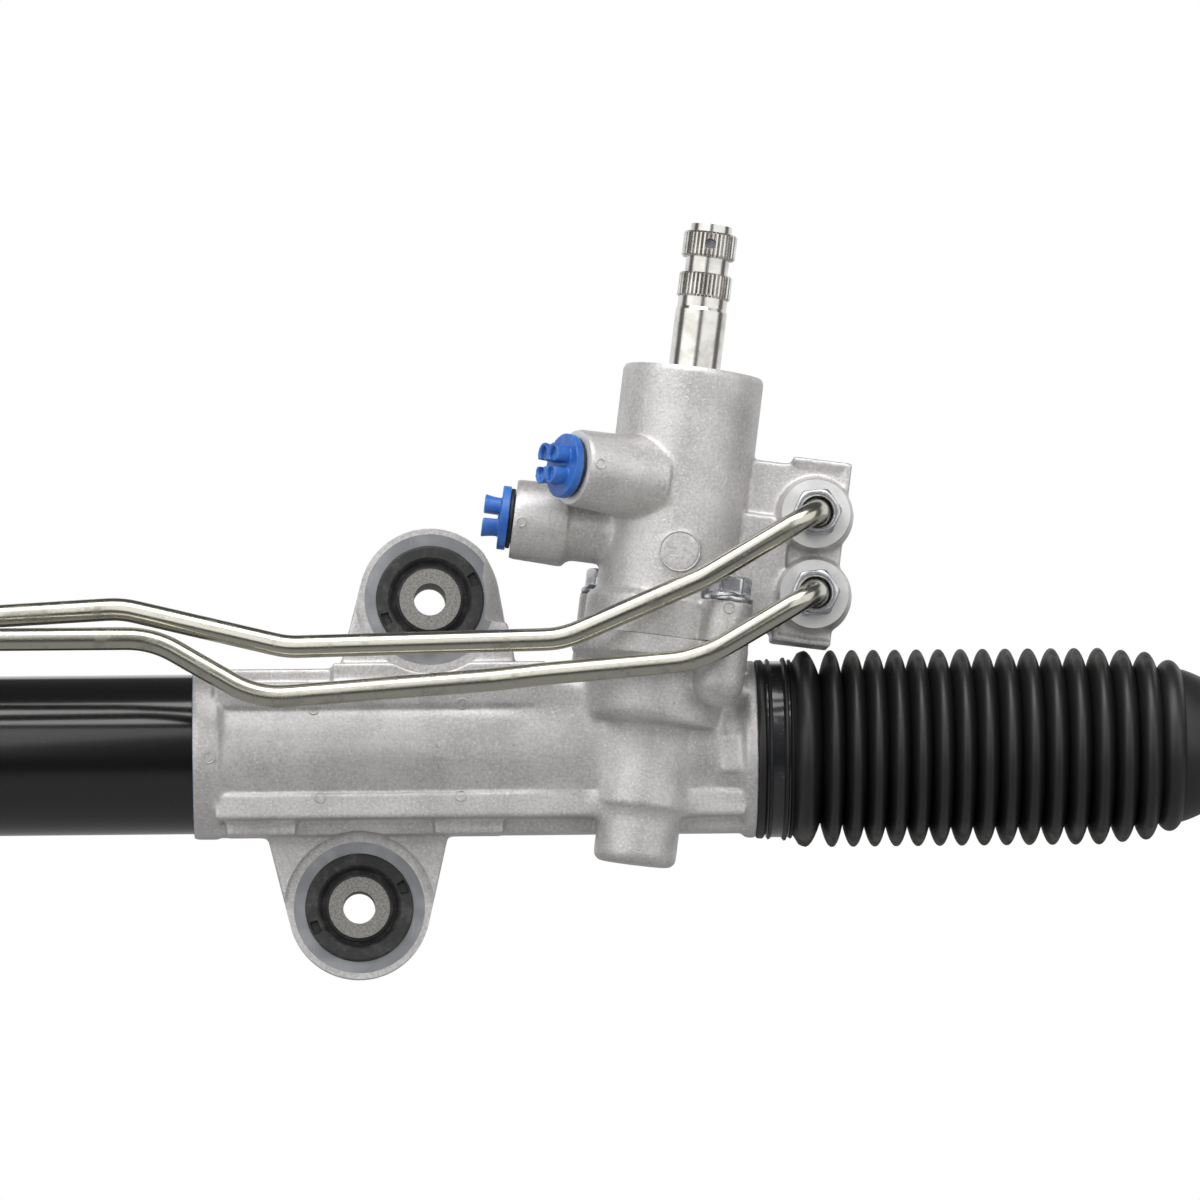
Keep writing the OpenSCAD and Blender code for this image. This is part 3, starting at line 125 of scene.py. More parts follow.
def placeCamera():
    half = shot["imageSize"] / 2
    acrossX = (half - shot["originPixel"][0]) * shot["mmPerPixel"]
    acrossZ = (shot["originPixel"][1] - half) * shot["mmPerPixel"]
    roll = math.radians(shot["roll"])
    aim = Vector((acrossX * math.cos(roll) + acrossZ * math.sin(roll), 0,
                  acrossZ * math.cos(roll) - acrossX * math.sin(roll))) * mm
    aim.y = rackLine.y
    place = Vector((shot["facing"][0] * mm, rackLine.y - shot["distance"] * mm, shot["facing"][1] * mm))
    camera = placed("camera", bpy.data.cameras.new("camera"))
    away = aim - place
    width = shot["imageSize"] * shot["mmPerPixel"] * mm
    camera.data.sensor_width = shot["sensor"]
    camera.data.lens = shot["sensor"] * away.length / width
    camera.data.clip_start, camera.data.clip_end = shot["clip"]
    camera.rotation_mode = "QUATERNION"
    turn = away.to_track_quat("-Z", "Y").to_matrix() @ Matrix.Rotation(-roll, 3, "Z")
    camera.location = place
    camera.rotation_quaternion = turn.to_quaternion()
    bpy.context.scene.camera = camera


placeCamera()
bpy.context.scene.view_settings.view_transform = "Standard"


# Shader building: a wire is one output socket, and sums on wires add Math nodes

class Wire:
    def __init__(self, graph, socket):
        self.graph = graph
        self.socket = socket

    def maths(self, operation, a, b=0.0):
        return self.graph.node("Math", {"operation": operation}, {0: a, 1: b})

    def __add__(self, other):
        return self.maths("ADD", self, other)

    def __sub__(self, other):
        return self.maths("SUBTRACT", self, other)

    def __rsub__(self, other):
        return self.maths("SUBTRACT", other, self)

    def __mul__(self, other):
        return self.maths("MULTIPLY", self, other)

    def __abs__(self):
        return self.maths("ABSOLUTE", self)

    __radd__ = __add__


class Graph:
    def __init__(self, tree):
        self.tree = tree
        tree.nodes.clear()

    def node(self, kind, settings=None, sockets=None, output=0):
        made = self.tree.nodes.new("ShaderNode" + kind)
        for name, value in (settings or {}).items():
            setattr(made, name, value)
        for name, value in (sockets or {}).items():
            socket = made.inputs[name]
            if isinstance(value, Wire):
                self.tree.links.new(value.socket, socket)
            elif socket.type == "RGBA":
                socket.default_value = (*value, 1)
            else:
                socket.default_value = value
        return Wire(self, made.outputs[output]) if made.outputs else made


def paint(*screen):  # screen colour of 0 to 255 to scene colour
    return tuple((c / 255 / 12.92) if c < 10 else ((c / 255 + 0.055) / 1.055) ** 2.4 for c in screen)


def rise(wire, low, high):  # 0 under low, 1 over high, smooth between
    return wire.graph.node("MapRange", {"interpolation_type": "SMOOTHSTEP"},
                           {"Value": wire, "From Min": low, "From Max": high})


def blendColour(mask, *colours):  # each colour is a wire or a screen colour
    a, b = (c if isinstance(c, Wire) else paint(*c) for c in colours)
    return mask.graph.node("Mix", {"data_type": "RGBA"}, {0: mask, 6: a, 7: b}, 2)


def place(graph):
    return graph.node("TexCoord", output="Object")


def part(vector, axis):
    return vector.graph.node("SeparateXYZ", {}, {0: vector}, axis)


def noise(vector, perMetre, detail=2.0, rough=0.5):
    return vector.graph.node("TexNoise", {}, {"Vector": vector, "Scale": perMetre, "Detail": detail,
                                              "Roughness": rough})


def stretched(vector, along):  # squeezes the pattern across one axis, so it runs in streaks
    return vector.graph.node("VectorMath", {"operation": "MULTIPLY"}, {0: vector, 1: along}, 0)


def bump(pattern, height, strength=1.0):  # height in millimetres
    return pattern.graph.node("Bump", {}, {"Height": pattern, "Distance": height * mm, "Strength": strength})


def blankMaterial(name):
    material = bpy.data.materials.new(name)
    material.use_nodes = True
    return material, Graph(material.node_tree)


def finish(name, build):
    material, graph = blankMaterial(name)
    shader = graph.node("BsdfPrincipled", {}, build(place(graph)))
    graph.node("OutputMaterial", {}, {0: shader})
    return material


# Stage: floor, sky and three soft boxes
studio = {
    "floorDrop": 0.35,
    "floorSize": 12,
    "floorColour": paint(188, 188, 188),
    "floorGlow": 1.15,
    "floorGlowShare": 0.6,
    "floorMirror": (0.38, 0.08),
    "floorMirrorFrom": (-1.2, -0.45),
    "ambient": 0.18,
    "darkRoom": 0.10,
    "brightFrom": (0.25, 0.45),
    "brightTo": (0.5, 0.62),
    "lampStrength": 1.55,
    "lampDistance": 1.9,
    "lampCentre": (0.03, -0.028, 0.06),
    "lamps": {  # azimuth from the camera's side, elevation, width, height, share of the strength
        "overhead": (-8, 60, 2.2, 1.2, 2.75),
        "leftBox": (-42, 17, 2.7, 1.8, 0.95),
        "rightBox": (46, 16, 2.7, 1.8, 0.74),
    },
}


def buildWorld():
    world = bpy.data.worlds.new("studio")
    bpy.context.scene.world = world
    world.use_nodes = True
    graph = Graph(world.node_tree)
    toward = graph.node("TexCoord", output="Generated")
    height, back = part(toward, 2), part(toward, 1)
    behind = rise(back, *studio["brightFrom"]) * (1 - rise(height, *studio["brightTo"]))
    mirrored = behind + (1 - behind) * studio["darkRoom"]
    cameraRay = graph.node("LightPath", output="Is Camera Ray")
    glossyRay = graph.node("LightPath", output="Is Glossy Ray")
    glassRay = graph.node("LightPath", output="Is Transmission Ray")
    plain = 1 - cameraRay - glossyRay - glassRay
    strength = cameraRay + glassRay + glossyRay * mirrored + plain * studio["ambient"]
    shade = graph.node("Background", {}, {"Color": (1, 1, 1), "Strength": strength})
    graph.node("OutputWorld", {}, {0: shade})


def buildFloor():
    mesh = bpy.data.meshes.new("floor")
    size = studio["floorSize"] / 2
    z = cadLow.z - studio["floorDrop"]
    mesh.from_pydata([(-size, -size, z), (size, -size, z), (size, size, z), (-size, size, z)], [],
                     [(0, 1, 2, 3)])
    floor = placed("floor", mesh)
    material, graph = blankMaterial("paleFloor")
    toFront = rise(part(place(graph), 1), *studio["floorMirrorFrom"])
    cameraRay = graph.node("LightPath", output="Is Camera Ray")
    glossyRay = graph.node("LightPath", output="Is Glossy Ray")
    near, far = studio["floorMirror"]
    mirrored = toFront * (near - far) + far
    diffuse = graph.node("BsdfDiffuse", {}, {"Color": studio["floorColour"]})
    strength = cameraRay * studio["floorGlow"] + glossyRay * mirrored
    glow = graph.node("Emission", {}, {"Color": (1, 1, 1), "Strength": strength})
    share = cameraRay * studio["floorGlowShare"] + glossyRay
    both = graph.node("MixShader", {}, {0: share, 1: diffuse, 2: glow})
    graph.node("OutputMaterial", {}, {0: both})
    mesh.materials.append(material)


def buildLamps():
    centre = Vector(studio["lampCentre"])
    for name, (azimuth, elevation, width, height, share) in studio["lamps"].items():
        turn, lift = math.radians(azimuth), math.radians(elevation)
        toward = Vector((math.sin(turn) * math.cos(lift), -math.cos(turn) * math.cos(lift), math.sin(lift)))
        lamp = bpy.data.lights.new(name, "AREA")
        lamp.shape = "RECTANGLE"
        lamp.size = width
        lamp.size_y = height
        lamp.energy = studio["lampStrength"] * share * math.pi * width * height
        holder = placed(name, lamp)
        holder.location = centre + toward * studio["lampDistance"]
        holder.rotation_mode = "QUATERNION"
        holder.rotation_quaternion = (-toward).to_track_quat("-Z", "Y")
        holder.visible_camera = False


buildWorld()
buildFloor()
buildLamps()
print("stage and camera ready")


# Finishes

castLook = {
    "base": (205, 203, 202),
    "low": (178, 176, 175),
    "stain": (146, 143, 140),
    "rough": 0.46,
    "metal": 0.6,
    "grain": 1050,
    "grainHeight": 0.1,
    "mottle": 60,
}


def castAluminium(where):
    grain = noise(where, castLook["grain"], 3, 0.62)
    mottle = noise(where, castLook["mottle"], 3)
    flow = noise(stretched(where, (0.35, 1, 1)), castLook["mottle"] * 0.6, 4, 0.6)
    fleck = rise(noise(where, castLook["grain"] * 1.7, 1), 0.64, 0.7)
    pit = rise(noise(where, castLook["grain"] * 0.55, 2, 0.6), 0.68, 0.76)
    shade = rise(mottle * 0.45 + grain * 0.55, 0.36, 0.62)
    colour = blendColour(shade, castLook["low"], castLook["base"])
    colour = blendColour(rise(flow, 0.56, 0.74) * 0.35, colour, castLook["stain"])
    colour = blendColour(pit * 0.55, colour, castLook["stain"])
    colour = blendColour(fleck * 0.55, colour, (238, 237, 236))
    return {
        "Base Color": colour,
        "Metallic": castLook["metal"],
        "Roughness": castLook["rough"] - fleck * 0.18 + (grain - 0.5) * 0.2,
        "Normal": bump(grain + fleck * 0.3 - pit * 0.4, castLook["grainHeight"]),
    }


def machinedFace(low, high, metal):
    def build(where):
        fine = noise(where, 5000, 1)
        cloud = noise(where, 90, 2)
        scratch = rise(noise(stretched(where, (1, 1, 0.08)), 1400, 2), 0.7, 0.78)
        colour = blendColour(rise(cloud, 0.35, 0.65), low, high)
        return {
            "Base Color": blendColour(scratch * 0.3, colour, (232, 233, 235)),
            "Metallic": metal,
            "Roughness": cloud * 0.12 + 0.34 - scratch * 0.08,
            "Normal": bump(fine, 0.01),
        }
    return build


def blackTubePaint(where):
    dust = rise(noise(where, 420, 4, 0.7), 0.66, 0.8)
    smear = noise(stretched(where, (0.15, 1, 1)), 60, 3)
    scratch = rise(noise(stretched(where, (1, 0.05, 0.6)), 900, 2), 0.74, 0.78)
    colour = blendColour(dust * 0.35 + scratch * 0.12, (13, 13, 14), (104, 102, 99))
    return {
        "Base Color": colour,
        "Roughness": smear * 0.1 + 0.1 + dust * 0.2,
        "Specular IOR Level": 0.5,
        "Coat Weight": 0.4,
        "Coat Roughness": 0.08,
        "Normal": bump(noise(where, 160, 2), 0.02, 0.12),
    }


def zincNickelSteel(where):
    smudge = rise(noise(where, 120, 4, 0.62), 0.52, 0.72)
    drawn = noise(stretched(where, (0.06, 1, 1)), 1800, 2)
    colour = blendColour(smudge * 0.5, (192, 190, 178), (136, 133, 122))
    return {
        "Base Color": colour,
        "Metallic": 1.0,
        "Roughness": smudge * 0.16 + drawn * 0.08 + 0.17,
        "Normal": bump(drawn, 0.008, 0.6),
    }


def bushRubber(where):
    dust = rise(noise(where, 260, 5, 0.66), 0.46, 0.72)
    speck = rise(noise(where, 2100, 1), 0.7, 0.76)
    colour = blendColour(dust * 0.55 + speck * 0.3, (36, 36, 37), (88, 86, 83))
    return {
        "Base Color": colour,
        "Roughness": dust * 0.2 + 0.6,
        "Normal": bump(noise(where, 1300, 3, 0.6), 0.05),
    }


def sleeveSteel(where):
    speckle = noise(where, 1500, 3, 0.7)
    colour = blendColour(rise(speckle, 0.36, 0.64), (116, 114, 111), (150, 148, 144))
    return {
        "Base Color": colour,
        "Metallic": 0.55,
        "Roughness": 0.56 - (speckle - 0.5) * 0.3,
        "Normal": bump(speckle, 0.04),
    }


def bellowsRubber(where):
    # painted sheen mixed with dust: the rubber is painted lighter grey towards its top and bottom, up and down
    # from the rack's line, where the bright surroundings would be reflected, and broken up by the dust pattern
    offAxis = abs(part(where, 2) - rackLine.z)
    rimSheen = rise(offAxis, 23.5 * mm, 31.5 * mm)
    dust = rise(noise(where, 180, 5, 0.62), 0.36, 0.66)
    colour = blendColour(rimSheen * dust * 0.62, (25, 25, 26), (112, 107, 100))
    return {
        "Base Color": colour,
        "Roughness": 0.42 + rimSheen * 0.26 + dust * 0.06,
        "Normal": bump(noise(where, 900, 2), 0.02),
    }


def bandPaint(where):
    wear = rise(noise(where, 300, 4), 0.62, 0.75)
    return {
        "Base Color": blendColour(wear * 0.4, (24, 25, 28), (92, 92, 94)),
        "Roughness": wear * 0.2 + 0.2,
        "Coat Weight": 0.5,
        "Coat Roughness": 0.1,
    }


def groundSteel(where):
    height = part(where, 2)
    turned = noise(where.graph.node("CombineXYZ", {}, {2: height}), 2600, 1)
    film = noise(where, 150, 3)
    return {
        "Base Color": blendColour(rise(film, 0.4, 0.7), (218, 216, 212), (192, 189, 183)),
        "Metallic": 1.0,
        "Roughness": turned * 0.05 + film * 0.1 + 0.14,
    }


def plainSteel(light, dark, rough, grain=1200, height=0.02):
    def build(where):
        cloud = noise(where, 180, 4)
        pits = noise(where, grain, 3, 0.6)
        shade = rise(cloud * 0.6 + pits * 0.4, 0.38, 0.62)
        return {
            "Base Color": blendColour(shade, dark, light),
            "Metallic": 1.0,
            "Roughness": (pits - 0.5) * 0.2 + rough,
            "Normal": bump(pits, height),
        }
    return build


def clouded(light, dark, rough, metal=0.0, cloud=(140, 4), span=(0.35, 0.68), share=0.14, fine=(1600, 2)):
    def build(where):
        pattern = noise(where, *cloud)
        look = {
            "Base Color": blendColour(rise(pattern, *span), dark, light),
            "Metallic": metal,
            "Roughness": pattern * share + rough,
        }
        if fine:
            look["Normal"] = bump(noise(where, *fine), 0.012)
        return look
    return build


def plugPlastic(where):
    cloud = noise(where, 120, 3)
    scuff = rise(noise(where, 700, 4, 0.7), 0.62, 0.74)
    colour = blendColour(rise(cloud, 0.35, 0.7), (34, 88, 167), (58, 115, 193))
    return {
        "Base Color": blendColour(scuff * 0.35, colour, (132, 172, 228)),
        "Roughness": cloud * 0.16 + 0.3,
        "Specular IOR Level": 0.5,
        "Normal": bump(noise(where, 1400, 2), 0.01),
    }


finishes = {
    "cast_aluminium": finish("castAluminium", castAluminium),
    "black_tube_paint": finish("blackTubePaint", blackTubePaint),
    "zinc_nickel_steel": finish("zincNickelSteel", zincNickelSteel),
    "bright_zinc": finish("brightZinc", clouded((172, 173, 176), (203, 205, 209), 0.16, 1.0, (260, 3),
                                                (0.4, 0.66), 0.2, (2500, 1))),
    "bush_rubber": finish("bushRubber", bushRubber),
    "sleeve_steel": finish("sleeveSteel", sleeveSteel),
    "bellows_rubber": finish("bellowsRubber", bellowsRubber),
    "band_steel": finish("bandPaint", bandPaint),
    "polished_steel": finish("groundSteel", groundSteel),
    "bearing_steel": finish("bearingSteel", plainSteel((196, 198, 202), (160, 162, 167), 0.24)),
    "spring_steel": finish("springSteel", plainSteel((150, 151, 154), (112, 113, 117), 0.36)),
    "seal_rubber": finish("sealRubber", clouded((34, 34, 35), (22, 22, 23), 0.46)),
    "seal_plastic": finish("sealPlastic", clouded((150, 112, 84), (122, 88, 62), 0.36)),
    "seat_plastic": finish("seatPlastic", clouded((226, 221, 204), (204, 198, 178), 0.3)),
    "bronze": finish("sinteredBronze", plainSteel((188, 150, 98), (150, 114, 70), 0.42, 2200, 0.03)),
    "forged_steel": finish("forgedSteel", plainSteel((118, 117, 115), (92, 91, 90), 0.44, 900, 0.04)),
    "yellow_zinc": finish("yellowZinc", plainSteel((214, 190, 130), (170, 150, 112), 0.28)),
    "plug_blue": finish("plugPlastic", plugPlastic),
}
earFace = finish("earFaceAluminium", machinedFace((141, 143, 146), (161, 163, 167), 0.75))
nutFace = finish("nutFaceAluminium", machinedFace((206, 206, 205), (226, 226, 225), 0.3))

slotOf = {entry["node"]: entry["material_slot"] for entry in record["subparts"]}
for nodeName, held in nodes.items():
    held.data.materials.clear()
    held.data.materials.append(finishes[slotOf[nodeName]])
print("finishes ready:", len(finishes) + 2)


# Mesh helpers

def readPoints(mesh):
    points = np.empty(len(mesh.vertices) * 3)
    mesh.vertices.foreach_get("co", points)
    return points.reshape(-1, 3)


def writePoints(mesh, points):
    mesh.vertices.foreach_set("co", points.ravel())
    mesh.update()


def fromAxis(points, where, axis):  # how far points lie along an axis, and their way across it
    away = points - np.array(where)
    along = away @ np.array(axis)
    return along, away - along[:, None] * np.array(axis)


def angles(steps):
    return [2 * math.pi * k / steps for k in range(steps)]


def circle(centre, u, w, radius, steps):  # a ring of points in the plane of two directions
    return [centre + (u * math.cos(a) + w * math.sin(a)) * radius for a in angles(steps)]


def ringQuads(rings, steps, closed=False):  # faces between neighbouring rings of points
    faces = []
    for i in range(rings if closed else rings - 1):
        here, after = i * steps, (i + 1) % rings * steps
        for k in range(steps):
            j = (k + 1) % steps
            faces.append((here + k, here + j, after + j, after + k))
    return faces


def addPiece(name, points, faces, slot, body, sharp=35):
    mesh = bpy.data.meshes.new(name)
    mesh.from_pydata([tuple(p) for p in points], [], faces)
    mesh.validate()
    return addMesh(name, mesh, slot, body, sharp)


def addMesh(name, mesh, slot, body, sharp=35):
    made = placed(name, mesh)
    if not mesh.materials:
        mesh.materials.append(finishes[slot])
    mesh.polygons.foreach_set("use_smooth", [True] * len(mesh.polygons))
    mesh.set_sharp_from_angle(angle=math.radians(sharp))
    if body:
        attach(made, body)
    return made


def revolved(outline, steps):
    # points and faces of a closed outline of (x, radius) in millimetres, turned round the rack's line
    points, faces = [], []
    count = len(outline)
    for a in angles(steps):
        for x, r in outline:
            points.append(rackLine + Vector((x, -r * math.sin(a), r * math.cos(a))) * mm)
    for k in range(steps):
        here, after = k * count, (k + 1) % steps * count
        for i in range(count):
            j = (i + 1) % count
            faces.append((here + i, after + i, after + j, here + j))
    return points, faces


def mirrored(points, faces):
    flipped = [Vector((2 * rackCentreX - p.x, p.y, p.z)) for p in points]
    return flipped, [tuple(reversed(f)) for f in faces]


def tidyCopy(node):
    mesh = nodes[node].data.copy()
    bm = bmesh.new()
    bm.from_mesh(mesh)
    bmesh.ops.remove_doubles(bm, verts=bm.verts, dist=1e-6)
    bm.to_mesh(mesh)
    bm.free()
    return mesh


def rod(a, b, radius, steps=96, farRadius=None):  # bmesh of a closed cylinder or cone, in metres
    bm = bmesh.new()
    axis = b - a
    turn = axis.to_track_quat("Z", "Y").to_matrix().to_4x4()
    bmesh.ops.create_cone(bm, cap_ends=True, segments=steps, radius1=radius, radius2=farRadius or radius,
                          depth=axis.length, matrix=Matrix.Translation((a + b) / 2) @ turn)
    return bm


# Castings: the machined faces are grown a little, the whole body is remeshed, fillets are grown in
# its hollow corners and its edges are eased, and then the machined faces and bores are cut again
casting = {
    "voxel": 0.68 * mm,
    "easing": 2,
    "step": 0.55,  # share of the way that a smoothing pass moves a point
    "grow": 3 * mm,
    "skin": 0.05 * mm,
    "boreSkin": 0.2 * mm,
    "sameWay": (0.999, 0.98),  # how near a face's direction is to a grown or a machined one
    "acrossBore": 0.3,
    "fillets": 6,
    "seamGap": 0.15,
    "sharp": 58,
    "cutterSteps": 128,
}
over = {  # millimetres: how wide and how long a cut goes, to clear all that stands before a face
    "face": 40,
    "back": 60,
    "clear": 20,
    "tower": 14,
}


def growFaces(mesh, where, direction, radius):
    bm = bmesh.new()
    bm.from_mesh(mesh)
    chosen = []
    for face in bm.faces:
        away = face.calc_center_median() - where
        along = away.dot(direction)
        if (face.normal.dot(direction) > casting["sameWay"][0] and abs(along) < casting["skin"]
                and (away - direction * along).length < radius):
            chosen.append(face)
    if chosen:
        grown = bmesh.ops.extrude_face_region(bm, geom=chosen)["geom"]
        bmesh.ops.translate(bm, verts=[g for g in grown if isinstance(g, bmesh.types.BMVert)],
                            vec=direction * casting["grow"])
        bmesh.ops.delete(bm, geom=[f for f in chosen if f.is_valid], context="FACES")
    bm.to_mesh(mesh)
    bm.free()


def shapeMesh(shape):
    mesh = bpy.data.meshes.new("shape")
    shape.to_mesh(mesh)
    shape.free()
    return mesh


def addShapes(mesh, shapes):
    bm = bmesh.new()
    bm.from_mesh(mesh)
    for shape in shapes:
        piece = shapeMesh(shape)
        bm.from_mesh(piece)
        bpy.data.meshes.remove(piece)
    bm.to_mesh(mesh)
    bm.free()


def cutWith(made, shapes):
    tools = []
    for i, shape in enumerate(shapes):
        tools.append(placed(f"cutter{i}", shapeMesh(shape)))
        cut = made.modifiers.new(f"cut{i}", "BOOLEAN")
        cut.operation = "DIFFERENCE"
        cut.solver = "MANIFOLD"
        cut.object = tools[-1]
    applyAll(made)
    for tool in tools:
        bpy.data.objects.remove(tool)


def applyAll(made):
    bpy.context.view_layer.update()
    graph = bpy.context.evaluated_depsgraph_get()
    final = bpy.data.meshes.new_from_object(made.evaluated_get(graph))
    made.modifiers.clear()
    made.data = final


towerTurn = Matrix.Translation(towerFoot) @ Matrix((towerRight, rear, towerUp)).transposed().to_4x4()


def block(corner, size, turn):  # bmesh of a box by its lowest corner and its size, in millimetres
    bm = bmesh.new()
    bmesh.ops.create_cube(bm, size=1)
    for vert in bm.verts:
        vert.co = Vector(tuple(((vert.co[i] + 0.5) * size[i] + corner[i]) * mm for i in range(3)))
    bm.transform(turn)
    return bm


def growFillets(mesh, fillets, easing, deepPlaces=(), softPlaces=()):
    # smoothing that may only add metal, going on longer near the deep places, then an easing of the
    # edges, light but near the soft places
    count = len(mesh.vertices)
    points = readPoints(mesh)
    edges = np.empty(len(mesh.edges) * 2, np.int64)
    mesh.edges.foreach_get("vertices", edges)
    a, b = edges[0::2], edges[1::2]
    degree = np.bincount(a, minlength=count) + np.bincount(b, minlength=count)
    corners = np.empty(len(mesh.loops), np.int64)
    mesh.loops.foreach_get("vertex_index", corners)
    quads = corners.reshape(-1, 4)
    share = 1

    def pull():
        total = np.empty_like(points)
        for axis in range(3):
            total[:, axis] = np.bincount(a, points[b, axis], count) + np.bincount(b, points[a, axis], count)
        return total / degree[:, None] - points

    def outward():
        first, second, third, fourth = (points[quads[:, k]] for k in range(4))
        facing = np.cross(third - first, fourth - second)
        normals = np.empty_like(points)
        for axis in range(3):
            normals[:, axis] = sum(np.bincount(quads[:, k], facing[:, axis], count) for k in range(4))
        return normals / np.maximum(np.linalg.norm(normals, axis=1), 1e-12)[:, None]

    def passesAt(least, places):
        turns = np.full(count, least / share)
        for centre, radius, passes in places:
            near = np.clip(2 - 2 * np.linalg.norm(points - np.array(centre), axis=1) / radius, 0, 1)
            turns = np.maximum(turns, passes / share * near)
        return turns

    turns = passesAt(fillets, deepPlaces)
    for i in range(math.ceil(turns.max())):
        weight = np.clip(turns - i, 0, 1)
        normals = outward()
        lift = np.einsum("ij,ij->i", pull(), normals)
        points += normals * (np.maximum(lift, 0) * weight * casting["step"])[:, None]
    turns = passesAt(easing, softPlaces)
    for i in range(math.ceil(turns.max())):
        points += pull() * (np.clip(turns - i, 0, 1) * casting["step"])[:, None]
    writePoints(mesh, points)


def remeshed(name, node, size, shapes=(), faces=()):
    # a CAD piece as one mesh of fine, even quads, with the shapes added and the faces grown
    made = placed(name, tidyCopy(node))
    for where, direction, radius in faces:
        growFaces(made.data, where, direction, radius)
    if shapes:
        addShapes(made.data, shapes)
    remesh = made.modifiers.new("remesh", "REMESH")
    remesh.mode = "VOXEL"
    remesh.voxel_size = size * 1
    applyAll(made)
    return made


def dressed(made, slot, body, node, *others):
    mesh = made.data
    mesh.materials.clear()
    for material in (finishes[slot], *others):
        mesh.materials.append(material)
    mesh.polygons.foreach_set("use_smooth", [True] * len(mesh.polygons))
    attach(made, body)
    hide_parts(node)


def softened(name, node, slot, body, size, fillets, easing, reshape=None):
    # a CAD piece remeshed fine, its hollow corners filled and its edges eased
    made = remeshed(name, node, size * mm)
    growFillets(made.data, fillets, easing)
    if reshape:
        reshape(made.data)
    dressed(made, slot, body, node)


class CastPlan:  # what is grown, filled, cut and machined on a casting; radii and lengths in millimetres
    def __init__(self, machined):
        self.machined = machined
        self.faces, self.fillers, self.blocks, self.cutters = [], [], [], []
        self.planes, self.bores, self.deepPlaces, self.softPlaces = [], [], [], []

    def grow(self, face, out, radius):
        self.faces.append((face, out, radius * mm))

    def fill(self, a, b, radius):
        self.fillers.append(rod(a, b, radius * mm))

    def cut(self, a, b, radius):
        self.cutters.append((a, b, radius * mm))

    def machine(self, face, out, radius, clear, cutRadius=None):
        self.cut(face, face + out * clear * mm, cutRadius or radius)
        self.planes.append((face, out, radius * mm))

    def bore(self, a, b, radius):
        self.bores.append((a, b, radius * mm))


def castBody(name, node, plan):
    made = remeshed(name, node, casting["voxel"], plan.fillers + plan.blocks, plan.faces)
    growFillets(made.data, casting["fillets"], casting["easing"], plan.deepPlaces, plan.softPlaces)
    cutWith(made, [rod(a, b, radius, casting["cutterSteps"]) for a, b, radius in plan.cutters])
    dressed(made, "cast_aluminium", "housing", node, plan.machined)
    made.data.set_sharp_from_angle(angle=math.radians(casting["sharp"]))
    markMachined(made.data, plan.planes, plan.bores)
    print(name, len(made.data.polygons), "faces")
    return made


def markMachined(mesh, planes, bores):
    # faces that lie on a cut plane or in a cut bore take the machined finish
    count = len(mesh.polygons)
    centres = np.empty(count * 3)
    normals = np.empty(count * 3)
    mesh.polygons.foreach_get("center", centres)
    mesh.polygons.foreach_get("normal", normals)
    centres, normals = centres.reshape(-1, 3), normals.reshape(-1, 3)
    chosen = np.zeros(count, bool)
    for where, direction, radius in planes:
        along, across = fromAxis(centres, where, direction)
        near = (abs(along) < casting["skin"]) & (np.linalg.norm(across, axis=1) < radius)
        chosen |= near & (normals @ np.array(direction) > casting["sameWay"][1])
    for a, b, radius in bores:
        axis = (b - a).normalized()
        along, across = fromAxis(centres, a, axis)
        inside = (along > 0) & (along < (b - a).length)
        onWall = abs(np.linalg.norm(across, axis=1) - radius) < casting["boreSkin"]
        chosen |= inside & onWall & (abs(normals @ np.array(axis)) < casting["acrossBore"])
    mesh.polygons.foreach_set("material_index", chosen.astype(np.int32))
    mesh.update()


earMiddles = {side: middle(f"{side}_mount_sleeve") for side in ("lower", "upper")}
earDepth = {side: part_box(f"{side}_mount_rubber") for side in ("lower", "upper")}
ears = {  # millimetres: radii, the ring's depth, and how far the rubber stands out of the face
    "front": 24,
    "back": 32,
    "bush": 17.25,
    "ring": 20.9,
    "ringDepth": 0.12,
    "filler": 18,
    "lip": 1,
}
tower = {  # millimetres along and across the pinion's axis
    "seam": 34.7,
    "top": 120.8,
    "valveBore": 98,
    "sealBore": 101,
    "ports": {  # drafted bosses: radius near the face, radius at the root, length
        "upper_hose_port": (12.2, 13.4, 28.4),
        "lower_hose_port": (12.7, 13.3, 17),
    },
    "portFace": (16, 18),  # machined radius, cut radius
    "portBore": (8, 13),  # radius, depth
    "portFiller": (14, 9),  # depth, radius
    "nuts": ((43.5, 79.8), (46, 54.4)),
    "nutFace": -14,
    "nutRound": (13, 14),
    "nutBore": (6, 8),
    "nutFillers": ((16, 6.6), (14, 10.8)),
    "bolt": (19, 22, 48.1),  # across, ahead and up, on both sides of the axis
    "boltSeat": (9, 9, 8.8),  # machined radius, how far the cut clears, cut radius
    "gearFillers": ((10, 20), (-15, 12, 15)),
    "valveFillers": (18, 3, 16),  # lower radius, overlap, upper radius
    "sealRadius": 14,
    # corner and size of each rim round the wing
    "wingRims": (((34.5, -7.2, 95.4), (18.9, 3, 2.2)), ((51.4, -7.2, 88), (2, 3, 9.6)),
                 ((34.5, -7.2, 38.6), (18.9, 3, 1.8))),
    # places that are smoothed longer, with a radius and a number of passes
    "valveDeep": (((-24, -12, 72), 13, 40), ((0, -18, 50), 20, 16)),
    "gearDeep": (((-12, -12, 0), 36, 170), ((-22, -12, -2), 24, 260), ((6, -14, -14), 24, 120),
                 ((0, -4, -24), 17, 50)),
    "gearSoft": (((-16, -18, 6), 24, 70), ((0, -20, 6), 14, 24)),
}
